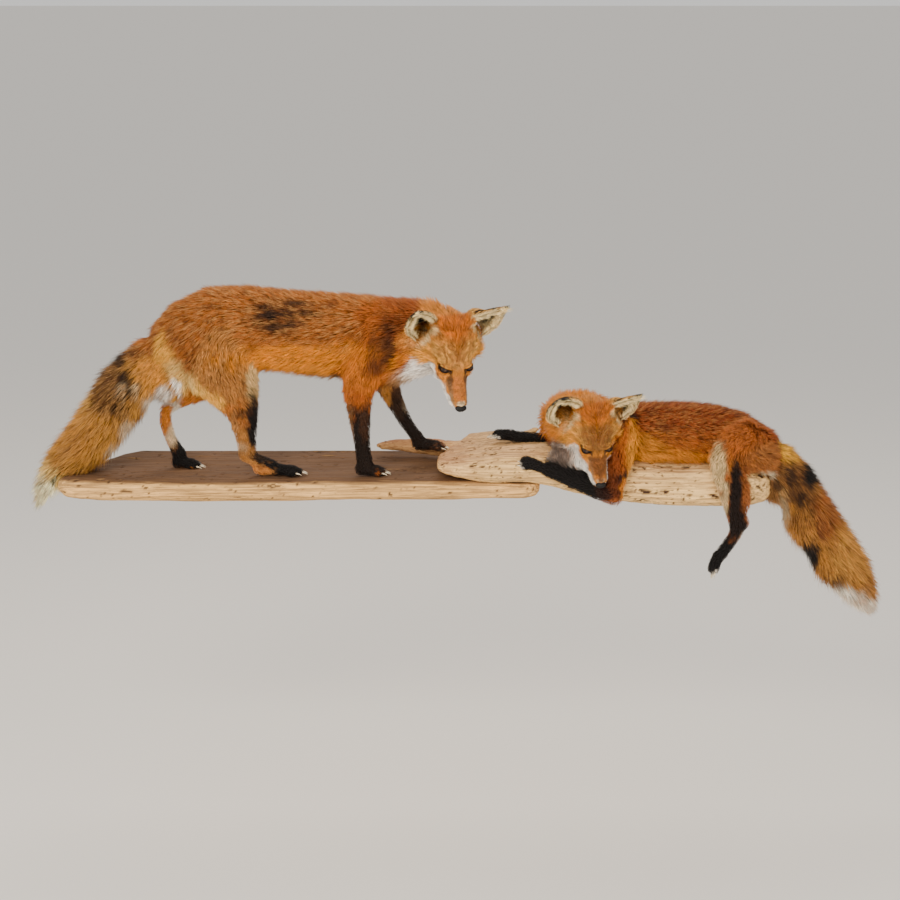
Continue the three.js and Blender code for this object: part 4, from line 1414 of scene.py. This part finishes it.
PIECES = ("bare", "body", "ruff", "face", "brush", "thighs", "shanks", "ears")
COVER = {"body": 7.2, "ruff": 5.6, "face": 6, "brush": 6.4, "thighs": 5.4, "shanks": 1.7, "ears": 4}
SHORT_HAIR = 12.5 * MM  # on the face and the shanks
TUFT_WIDTH, WIDTH_GAIN = 0.7 * MM, 0.02  # a tuft's width, and how it grows with its length
TIP_LIFT = 1.2  # tips stand a little past the form's outline
EAR_THICK = 20 * MM
GRIZZLE = {"trunk": 0.8, "tail": 0.9, "hind_right": 0.75, "haunch": 0.7, "neck": 0.2, "head": 0.18}
# The ear's dark hollow colour is painted shade deep in the cup.
EAR_CREAM, EAR_BLACK, EAR_HOLLOW_SHADE, EAR_RUST = "#F8E0A8", "#14100E", "#1A110C", "#E0A858"
EYE_RIM, LIP_BLACK, BROW_STREAK = "#100B09", "#1E1512", "#8A4C1C"


def ear_colours(cup, across, high, points):
    """Cream inside with painted shade in the hollow low down, black on the back, orange at the root."""
    flat = np.stack([across, high, 0 * high], axis=1) * MM
    inside = painted(
        np.tile(linear(EAR_CREAM), (len(points), 1)),
        flat,
        [(0, 0.2, 0, 0.56, 0.3, 1, EAR_HOLLOW_SHADE, 1.0), (0, 0.56, 0, 0.3, 0.12, 1, "#C8A888", 0.6)],
        41,
    )
    ragged = 0.5 * (noise(points, 6 * MM, 43) - 0.5)
    black = (high + ragged > 0.26) & ((np.abs(across) + ragged < 0.86) | (high + ragged > 0.9))
    back = np.where(black[:, None], linear(EAR_BLACK), linear(EAR_RUST))
    back = np.where((np.abs(across) > 0.94)[:, None] & ~black[:, None], linear(EAR_CREAM), back)
    return np.where(cup[:, None], inside, back)


class Pelt:
    """A skin's corners: where each is, on which limb, and what its limb's line says of the hair."""

    def __init__(self, mesh, notes, head, lie):
        self.head, self.lie = head, lie
        self.points = read(mesh.vertices, "co")
        self.left, self.hand = side_of(head.local(self.points))
        normals = relaxed(read(mesh.vertices, "normal"), joints_of(mesh), 2)
        self.normals = normals / np.maximum(np.linalg.norm(normals, axis=1), 1e-9)[:, None]
        self.nearest, sizes, self.way = lie.at(self.points)
        self.thick, self.depth, self.hair = sizes.T
        self.names = np.array(lie.names)[self.nearest]
        self.on_ear = notes[:, 0] != 0
        self.on_head = (self.names == "head") & ~self.on_ear
        self.cup, self.across, self.high = notes[:, 1] > 0.5, notes[:, 2], notes[:, 3]
        self.up_ear, self.across_ear = notes[:, 4:7], notes[:, 7:10]
        self.rim = step(np.abs(self.across), 0.4, 0.9)
        self.outside_lids, from_eye = eye_opening(self.left)
        self.by_eye = (from_eye < EYE_RADIUS + 4) & self.on_head


def combed(pelt):
    """The way the hair lies along the skin. It swirls, hangs on the flanks, spreads over the cheeks
    and parts on the brow. On an ear it runs up the back and inwards from the rim."""
    points, normals, left = pelt.points, pelt.normals, pelt.left
    way = pelt.way + swirls(points, 30 * MM, 31) * 0.55
    way[:, 2] -= 0.3 * np.isin(pelt.names, ["trunk", "neck", "haunch"]) * (1 - np.abs(normals[:, 2]))
    parting = pelt.hand * 0.4 * step(left[:, 2], 0, 14) * step(left[:, 0], 8, -12)
    ruffled = np.outer(parting, (0, 1, 0)) + swirls(points, 13 * MM, 34) * 0.8
    spread = normals * (0.2 + 0.3 * step(left[:, 0], -10, -50))[:, None] + pelt.head.turned(ruffled)
    way = np.where(pelt.on_head[:, None], way + spread, way)
    inward = np.sign(pelt.across) * step(np.abs(pelt.across), 0.3, 0.8)
    from_rim = pelt.up_ear * 0.7 - pelt.across_ear * inward[:, None]
    over_ear = np.where(pelt.cup[:, None], from_rim, pelt.up_ear)
    way = np.where(pelt.on_ear[:, None], over_ear, way)
    way -= normals * np.sum(way * normals, axis=1)[:, None]
    return way / np.maximum(np.linalg.norm(way, axis=1), 1e-6)[:, None]


def measured(pelt):
    """The hair's length, and how high its tips stand over the skin."""
    trim = np.where(np.isin(pelt.names, ["head", "neck"]), trimmed(pelt.left), 1)
    belly = step(pelt.normals[:, 2], -0.45, -0.8) * (pelt.names == "trunk")
    hair = pelt.hair * trim * (1 + 0.25 * belly)  # a fringe hangs below
    depth = pelt.depth * trim * (1 + 0.7 * belly) * TIP_LIFT
    tousled = 0.55 + 0.9 * noise(pelt.points, 5 * MM, 44)
    ear_hair = np.where(pelt.cup, (8 + 8 * pelt.rim) * tousled, 6 + 4 * pelt.rim) * MM
    ear_depth = np.where(pelt.cup, (2.5 + 6 * pelt.rim) * tousled, 1.2 + 1.8 * pelt.rim) * MM
    return np.where(pelt.on_ear, ear_hair, hair), np.where(pelt.on_ear, ear_depth, depth)


def dyed(pelt, shown, *markings):
    """The hair's colour at each place, and how grizzled it is, by where its outer half lies."""
    left = pelt.left
    colour = marked(shown, pelt.head, pelt.lie, *markings)
    waves = step(noise(left * MM, (15 * MM, 3.4 * MM, 9 * MM), 24), 0.52, 0.66) * step(left[:, 2], -6, 8)
    waves *= step(left[:, 0], -80, -55) * step(left[:, 0], 14, 2) * (pelt.names == "head")
    waves *= step(np.linalg.norm(left - (-60, 46, 8), axis=1), 20, 34)  # none by the ears
    colour += (np.array(linear(BROW_STREAK)) - colour) * (0.6 * waves)[:, None]
    on_ears = ear_colours(pelt.cup, pelt.across, pelt.high, pelt.points)
    colour = np.where(pelt.on_ear[:, None], on_ears, colour)
    rims = (1 - step(pelt.outside_lids, 0.12, 0.34)) * pelt.by_eye
    colour += (np.array(linear(EYE_RIM)) - colour) * rims[:, None]
    over_lip = left[:, 2] - lip_height(left[:, 0])
    mouth = np.exp(-((over_lip / 0.9) ** 2)) * step(left[:, 0], 10, 18) * (left[:, 1] > 3) * pelt.on_head
    colour += (np.array(linear(LIP_BLACK)) - colour) * np.clip(mouth * 1.2, 0, 1)[:, None]
    # Grizzled most along the back, and neither on the face nor where the coat is black or pale.
    bright = colour @ (0.3, 0.6, 0.1)
    grizzle = np.array([GRIZZLE.get(name, 0.1) for name in pelt.names]) * ~pelt.on_ear
    grizzle *= 1 - step(left[:, 0], -20, 5) * (pelt.names == "head")
    grizzle *= 0.4 + 0.6 * step(pelt.normals[:, 2], -0.4, 0.2)
    grizzle *= step(bright, 0.02, 0.1) * (1 - 0.85 * step(bright, 0.36, 0.56) * (pelt.names != "tail"))
    return colour, grizzle


def divided(pelt, hair):
    """The number of the coat's piece at each place."""
    limb = np.array([name[:4] in ("hind", "fore", "haun") for name in pelt.lie.names])[pelt.nearest]
    piece = np.full(len(pelt.points), PIECES.index("body"))
    for name, here in (
        ("ruff", np.isin(pelt.names, ["neck", "head"])),
        ("face", (pelt.names == "head") & (hair < SHORT_HAIR)),
        ("brush", pelt.names == "tail"),
        ("thighs", limb & (hair >= SHORT_HAIR)),
        ("shanks", limb & (hair < SHORT_HAIR)),
        ("ears", pelt.on_ear),
    ):
        piece[here] = PIECES.index(name)
    return piece


def crowded(pelt, piece, hair, depth):
    """Tufts per square metre of skin: closer where the skin curves, none on eyes and nose."""
    covered = np.array([COVER.get(name, 0) for name in PIECES])[piece]
    thick = np.where(pelt.on_ear, EAR_THICK, pelt.thick)
    curved = thick / np.maximum(thick - depth, 0.3 * thick)
    tufts = covered * curved / ((TUFT_WIDTH + WIDTH_GAIN * hair) * hair)
    nose_gap = np.linalg.norm((pelt.left - NOSE_CENTRE) / NOSE_RADII, axis=1)
    tufts *= ((pelt.outside_lids > 0.34) | ~pelt.by_eye) & (~pelt.on_head | (nose_gap > 1.12))
    tufts *= np.where(pelt.on_ear, np.where(pelt.cup, 0.5 + 1.1 * pelt.rim, 0.6), 1)
    tufts *= ~(pelt.on_ear & (pelt.high < -0.05))
    return tufts * (1 - 0.3 * step(pelt.normals[:, 1], 0.4, 0.8))  # thinner towards the wall


def grow(mesh, notes, head, lie, *markings):
    """Stores on the skin all that its tufts need."""
    pelt = Pelt(mesh, notes, head, lie)
    hair, depth = measured(pelt)
    sine = np.clip(depth / hair, 0.08, 0.75)
    chord = combed(pelt) * np.sqrt(1 - sine**2)[:, None] + pelt.normals * sine[:, None]
    colour, grizzle = dyed(pelt, pelt.points + chord * (hair * 0.55)[:, None], *markings)
    piece = divided(pelt, hair)
    store(mesh, "coat_colour", np.column_stack([colour, np.ones(len(colour))]))
    store(mesh, "grizzle", grizzle)
    store(mesh, "lie", chord)
    store(mesh, "out", pelt.normals)
    store(mesh, "hair", hair)
    store(mesh, "tufts", crowded(pelt, piece, hair, depth))
    first_corners = read_counts(mesh.loops, "vertex_index")[read_counts(mesh.polygons, "loop_start")]
    store(mesh, "coat_piece", piece[first_corners], "FACE")


# Tanned skin: matt, seen only between hairs, in their colour but darker as painted shade under the coat, with
# a grain of 2.4 mm.
skin_finish, tree, shader = finish_of("tanned_skin")
colour = add_node(tree, "ShaderNodeAttribute", attribute_name="coat_colour").outputs["Color"]
spot = add_node(tree, "ShaderNodeTexCoord").outputs["Object"]
down = add_node(tree, "ShaderNodeTexNoise", {"Vector": spot, "Scale": 420.0, "Detail": 3.0})
shade = add_node(tree, "ShaderNodeMapRange", {"Value": down, "To Min": 0.5, "To Max": 1.0})
deep = add_node(tree, "ShaderNodeVectorMath", {0: colour, "Scale": shade}, operation="SCALE")
relief = add_node(tree, "ShaderNodeBump", {"Strength": 0.6, "Distance": 0.0008, "Height": down})
tree.links.new(deep.outputs[0], shader.inputs["Base Color"])
tree.links.new(relief.outputs["Normal"], shader.inputs["Normal"])
shader.inputs["Roughness"].default_value = 0.85
shader.inputs["Specular IOR Level"].default_value = 0.2

FOXES = {
    "walker": (WALKER_HEAD, WALKER_GROUND, WALKER_PATCHES, HEAD_PATCHES, WALKER_PAWS),
    "rester": (RESTER_HEAD, RESTER_GROUND, RESTER_PATCHES, HEAD_PATCHES + RESTER_FACE, RESTER_PAWS),
}
REPLACED = {
    "walker": WALKER_BODY + WALKER_COVERED,
    "rester": ["second_fox"],
}
SLOTS = {"walker": "red_coat", "rester": "russet_coat"}
for fox, (mesh, notes) in skins.items():
    head, *markings = FOXES[fox]
    grow(mesh, notes, head, lies[fox], *markings)
    mesh.materials.append(skin_finish)
    skin = place(fox + "_skin", mesh)
    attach(skin, "root")
    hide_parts(*REPLACED[fox])


# -------------------------------------------------------------------------------------- coats
# Hair in locks of a few dozen strands, each a closed spindle that leaves the skin steeply and
# bends over to lie along the body. Long hair takes eight corners, short hair five.

LONG_TUFT = [(0.0, 0.0), (0.2, 0.5), (0.62, 0.4), (1.0, 0.0)]  # share of length, half width
SHORT_TUFT = [(0.0, 0.0), (0.42, 0.5), (1.0, 0.0)]


def tuft_object(name, profile):
    """A closed three-sided spindle of length and width 1, which knows how far along it each corner is."""
    shell = bmesh.new()
    rings = []
    for along, half in profile:
        turns = [math.radians(a) for a in (90, 210, 330)] if half else [0]
        rings.append([shell.verts.new((along, half * math.cos(t), half * math.sin(t))) for t in turns])
    for a, b in zip(rings, rings[1:]):
        for j in range(3):
            k = (j + 1) % 3
            if len(a) == 1:
                shell.faces.new((a[0], b[k], b[j]))
            elif len(b) == 1:
                shell.faces.new((a[j], a[k], b[0]))
            else:
                shell.faces.new((a[j], a[k], b[k]))
                shell.faces.new((a[j], b[k], b[j]))
    bmesh.ops.recalc_face_normals(shell, faces=shell.faces)
    mesh = mesh_of(name, shell)
    mesh.shade_smooth()
    store(mesh, "along", [v.co.x for v in mesh.vertices])
    return place(name, mesh)


# Tufts at random over one piece of the skin, turned to its lie, bent and drawn into locks.
growth = bpy.data.node_groups.new("coat_of_tufts", "GeometryNodeTree")
sockets = {
    name: growth.interface.new_socket(name, in_out="INPUT", socket_type="NodeSocket" + kind).identifier
    for name, kind in (
        ("Skin", "Geometry"),
        ("Piece", "Int"),
        ("Seed", "Int"),
        ("Share of tufts", "Float"),
        ("Length", "Float"),
        ("Width", "Float"),
        ("Gather", "Float"),
        ("Locks per metre", "Float"),
        ("Tuft", "Object"),
        ("Finish", "Material"),
    )
}
growth.interface.new_socket("Coat", in_out="OUTPUT", socket_type="NodeSocketGeometry")
given = growth.nodes.new("NodeGroupInput").outputs
stored = {
    name: add_node(growth, "GeometryNodeInputNamedAttribute", {"Name": name}, data_type=kind)
    for name, kind in (
        ("coat_piece", "INT"),
        ("tufts", "FLOAT"),
        ("hair", "FLOAT"),
        ("along", "FLOAT"),
        ("lie", "FLOAT_VECTOR"),
        ("out", "FLOAT_VECTOR"),
        ("root", "FLOAT_VECTOR"),
    )
}
here = add_node(
    growth,
    "FunctionNodeCompare",
    {2: stored["coat_piece"], 3: given["Piece"]},
    data_type="INT",
    operation="EQUAL",
)
closeness = add_node(
    growth, "ShaderNodeMath", {0: stored["tufts"], 1: given["Share of tufts"]}, operation="MULTIPLY"
)
scatter = add_node(
    growth,
    "GeometryNodeDistributePointsOnFaces",
    {"Mesh": given["Skin"], "Selection": here, "Density": closeness, "Seed": given["Seed"]},
    distribute_method="RANDOM",
)
rooted = add_node(
    growth,
    "GeometryNodeStoreNamedAttribute",
    {"Geometry": scatter, "Name": "root", "Value": add_node(growth, "GeometryNodeInputPosition")},
    data_type="FLOAT_VECTOR",
    domain="POINT",
)
stray = add_node(
    growth,
    "FunctionNodeRandomValue",
    {0: (-0.14, -0.14, -0.14), 1: (0.14, 0.14, 0.14), "Seed": given["Seed"]},
    data_type="FLOAT_VECTOR",
)
turn = add_node(
    growth,
    "FunctionNodeAxesToRotation",
    {
        "Primary Axis": add_node(growth, "ShaderNodeVectorMath", {0: stored["lie"], 1: stray}),
        "Secondary Axis": stored["out"],
    },
    primary_axis="X",
    secondary_axis="Z",
)
uneven = add_node(
    growth, "FunctionNodeRandomValue", {2: 0.72, 3: 1.1, "Seed": given["Seed"]}, data_type="FLOAT"
)
length = add_node(growth, "ShaderNodeMath", {0: stored["hair"], 1: given["Length"]}, operation="MULTIPLY")
length = add_node(growth, "ShaderNodeMath", {0: length, 1: uneven}, operation="MULTIPLY")
width = add_node(
    growth,
    "ShaderNodeMath",
    {0: stored["hair"], 1: WIDTH_GAIN, 2: TUFT_WIDTH},
    operation="MULTIPLY_ADD",
)
width = add_node(growth, "ShaderNodeMath", {0: width, 1: given["Width"]}, operation="MULTIPLY")
height = add_node(growth, "ShaderNodeMath", {0: width, 1: 0.6}, operation="MULTIPLY")
stuck = add_node(
    growth,
    "GeometryNodeInstanceOnPoints",
    {
        "Points": rooted,
        "Instance": add_node(growth, "GeometryNodeObjectInfo", {"Object": given["Tuft"]}).outputs["Geometry"],
        "Rotation": turn,
        "Scale": add_node(growth, "ShaderNodeCombineXYZ", {"X": length, "Y": width, "Z": height}),
    },
)
solid = add_node(growth, "GeometryNodeRealizeInstances", {"Geometry": stuck})
# Each tuft arches up from its root, and its tip leans towards the middle of its lock.
rest = add_node(growth, "ShaderNodeMath", {0: 1.0, 1: stored["along"]}, operation="SUBTRACT")
arch = add_node(growth, "ShaderNodeMath", {0: rest, 1: stored["along"]}, operation="MULTIPLY")
arch = add_node(growth, "ShaderNodeMath", {0: arch, 1: stored["hair"]}, operation="MULTIPLY")
arch = add_node(growth, "ShaderNodeMath", {0: arch, 1: 0.4}, operation="MULTIPLY")
rise = add_node(growth, "ShaderNodeVectorMath", {0: stored["out"], "Scale": arch}, operation="SCALE")
cells = add_node(
    growth, "ShaderNodeTexVoronoi", {"Vector": stored["root"], "Scale": given["Locks per metre"]}
)
lean = add_node(
    growth,
    "ShaderNodeVectorMath",
    {0: cells.outputs["Position"], 1: stored["root"]},
    operation="SUBTRACT",
)
pull = add_node(growth, "ShaderNodeMath", {0: stored["along"], 1: 1.6}, operation="POWER")
pull = add_node(growth, "ShaderNodeMath", {0: pull, 1: given["Gather"]}, operation="MULTIPLY")
lean = add_node(growth, "ShaderNodeVectorMath", {0: lean, "Scale": pull}, operation="SCALE")
bend = add_node(growth, "ShaderNodeVectorMath", {0: rise, 1: lean})
bent = add_node(growth, "GeometryNodeSetPosition", {"Geometry": solid, "Offset": bend})
done = add_node(
    growth, "GeometryNodeSetMaterial", {"Geometry": bent, "Material": given["Finish"]}
)
growth.links.new(done.outputs[0], growth.nodes.new("NodeGroupOutput").inputs[0])


def hair_finish(name, light_tip, dark_hair, root_shade=0.34):
    """Fox hair: silky, darker at the root as dark underfur and painted shade deep in the coat, with
    light-tipped and dark guard hairs mixed in. Single hairs are too fine to show, so their tones are drawn
    tuft by tuft and lock by lock."""
    material, tree, shader = finish_of(name)
    colour, along, root, grizzle = (
        add_node(tree, "ShaderNodeAttribute", attribute_name=field).outputs[out]
        for field, out in (("coat_colour", "Color"), ("along", "Fac"), ("root", "Vector"), ("grizzle", "Fac"))
    )
    # Every tuft and every 7 mm lock has its own tone.
    own = add_node(tree, "ShaderNodeTexWhiteNoise", {"Vector": root})
    own_tone = add_node(tree, "ShaderNodeMapRange", {"Value": own, "To Min": 0.7, "To Max": 1.24})
    locks = add_node(tree, "ShaderNodeTexVoronoi", {"Vector": root, "Scale": 140.0})
    locks = add_node(tree, "ShaderNodeSeparateXYZ", {0: locks.outputs["Color"]})
    lock_tone = add_node(tree, "ShaderNodeMapRange", {"Value": locks, "To Min": 0.74, "To Max": 1.26})
    # Darker towards the root: dark underfur, and painted shade deep in the coat.
    shade = add_node(
        tree, "ShaderNodeMapRange", {"Value": along, "From Max": 0.6, "To Min": root_shade, "To Max": 1.08}
    )
    tone = add_node(tree, "ShaderNodeMath", {0: own_tone, 1: shade}, operation="MULTIPLY")
    tone = add_node(tree, "ShaderNodeMath", {0: tone, 1: lock_tone}, operation="MULTIPLY")
    body = add_node(tree, "ShaderNodeVectorMath", {0: colour, "Scale": tone}, operation="SCALE")
    ends = add_node(tree, "ShaderNodeMapRange", {"Value": along, "From Min": 0.3, "From Max": 0.8})
    # Dark hairs come in spots of 8 mm, and light tips in spots of 5 mm.
    for scale, low, high, reach, strength, code in (
        (120.0, 0.5, 0.62, 1.0, 0.85, dark_hair),
        (210.0, 0.5, 0.57, ends, 0.85, light_tip),
    ):
        spots = add_node(tree, "ShaderNodeTexNoise", {"Vector": root, "Scale": scale, "Detail": 2.0})
        share = add_node(tree, "ShaderNodeMapRange", {"Value": spots, "From Min": low, "From Max": high})
        for factor in (grizzle, reach, strength):
            share = add_node(tree, "ShaderNodeMath", {0: share, 1: factor}, operation="MULTIPLY")
        body = add_node(
            tree, "ShaderNodeMix", {0: share, 6: body, 7: (*linear(code), 1)}, data_type="RGBA"
        )
    tree.links.new(body.outputs[2], shader.inputs["Base Color"])
    shader.inputs["Roughness"].default_value = 0.5
    shader.inputs["Specular IOR Level"].default_value = 0.35
    return material


tufts = {"long": tuft_object("tuft_long", LONG_TUFT), "short": tuft_object("tuft_short", SHORT_TUFT)}
finishes = {
    "walker": hair_finish("walker_fox_hair", "#ECB068", "#5A3010"),
    "rester": hair_finish("rester_fox_hair", "#E09A50", "#4E220A"),
    "ears": hair_finish("ear_fox_hair", "#ECB068", "#5A3010", root_shade=0.85),  # little painted root shade at a rim
}
# Piece, layer, tuft, and for the tree its share of the tufts, length, width, gather, locks.
LAYERS = (
    ("body", "under", "short", 0.5, 0.9, 1.1, 0.25, 100.0),
    ("body", "guard", "short", 0.5, 1.05, 0.9, 0.4, 100.0),
    ("ruff", "guard", "long", 1.0, 1.0, 1.0, 0.28, 110.0),
    ("face", "guard", "short", 1.0, 1.0, 1.0, 0.3, 150.0),
    ("brush", "under", "short", 0.55, 0.85, 1.1, 0.2, 110.0),
    ("brush", "guard", "short", 0.45, 1.15, 0.9, 0.3, 110.0),
    ("thighs", "guard", "short", 1.0, 1.0, 1.0, 0.35, 110.0),
    ("shanks", "guard", "short", 1.0, 1.0, 1.0, 0.2, 160.0),
    ("ears", "guard", "short", 1.0, 1.0, 1.0, 0.04, 200.0),
)
PATCH = 0.003  # a tuft's own patch on the map of roots
SEED = 10


def root_map(mesh, lie, corners_each):
    """Each tuft as a small patch at its root's place on the skin laid flat: round the limb across,
    and along it upwards, the limbs side by side."""
    along = read(mesh.attributes["along"].data, "value", 1)
    roots = read(mesh.attributes["root"].data, "vector")[::corners_each]
    near = np.empty((len(roots), lie.samples.shape[1]))
    for block, gap in lie.gaps(roots):
        near[block] = lie.samples[gap.argmin(axis=1)]
    out, way = roots / MM - near[:, :3], near[:, 6:9]
    aside = np.cross(way, (0.13, 0.31, 0.94))
    aside /= np.linalg.norm(aside, axis=1)[:, None]
    turn = np.arctan2(np.sum(out * np.cross(way, aside), 1), np.sum(out * aside, 1)) / (2 * math.pi) + 0.5
    _, column = np.unique(near[:, 10], return_inverse=True)
    u = (column + 0.01 + 0.98 * turn) / (column.max() + 1)
    v = 0.01 + 0.97 * near[:, 9]
    across = np.tile(np.linspace(0, PATCH, corners_each), len(roots))
    places = np.stack([np.repeat(u, corners_each) + across, np.repeat(v, corners_each) + along * PATCH], 1)
    corner = read_counts(mesh.loops, "vertex_index")
    layer = mesh.uv_layers.new(name="OFBake")
    layer.uv.foreach_set("vector", np.clip(places[corner], 0, 1).astype(np.float32).ravel())


for fox in skins:
    skin = bpy.data.objects[fox + "_skin"]
    for number, (piece, layer, tuft, *settings) in enumerate(LAYERS):
        comb = skin.modifiers.new("coat", "NODES")
        comb.node_group = growth
        hairs = finishes["ears" if piece == "ears" else fox]
        values = (PIECES.index(piece), SEED + number, *settings, tufts[tuft], hairs)
        for name, value in zip(list(sockets)[1:], values):
            comb[sockets[name]] = value
        mesh = as_modified(skin)
        skin.modifiers.remove(comb)
        mesh.name = f"{fox}_coat_{piece}_{layer}"
        root_map(mesh, lies[fox], len(tufts[tuft].data.vertices))
        for spare in ("lie", "out", "hair", "tufts", "coat_piece"):
            mesh.attributes.remove(mesh.attributes[spare])
        coat = place(mesh.name, mesh)
        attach(coat, "root")
        "brush_coat" if (fox, piece) == ("walker", "brush") else SLOTS[fox]
for tuft in tufts.values():
    bpy.data.objects.remove(tuft)
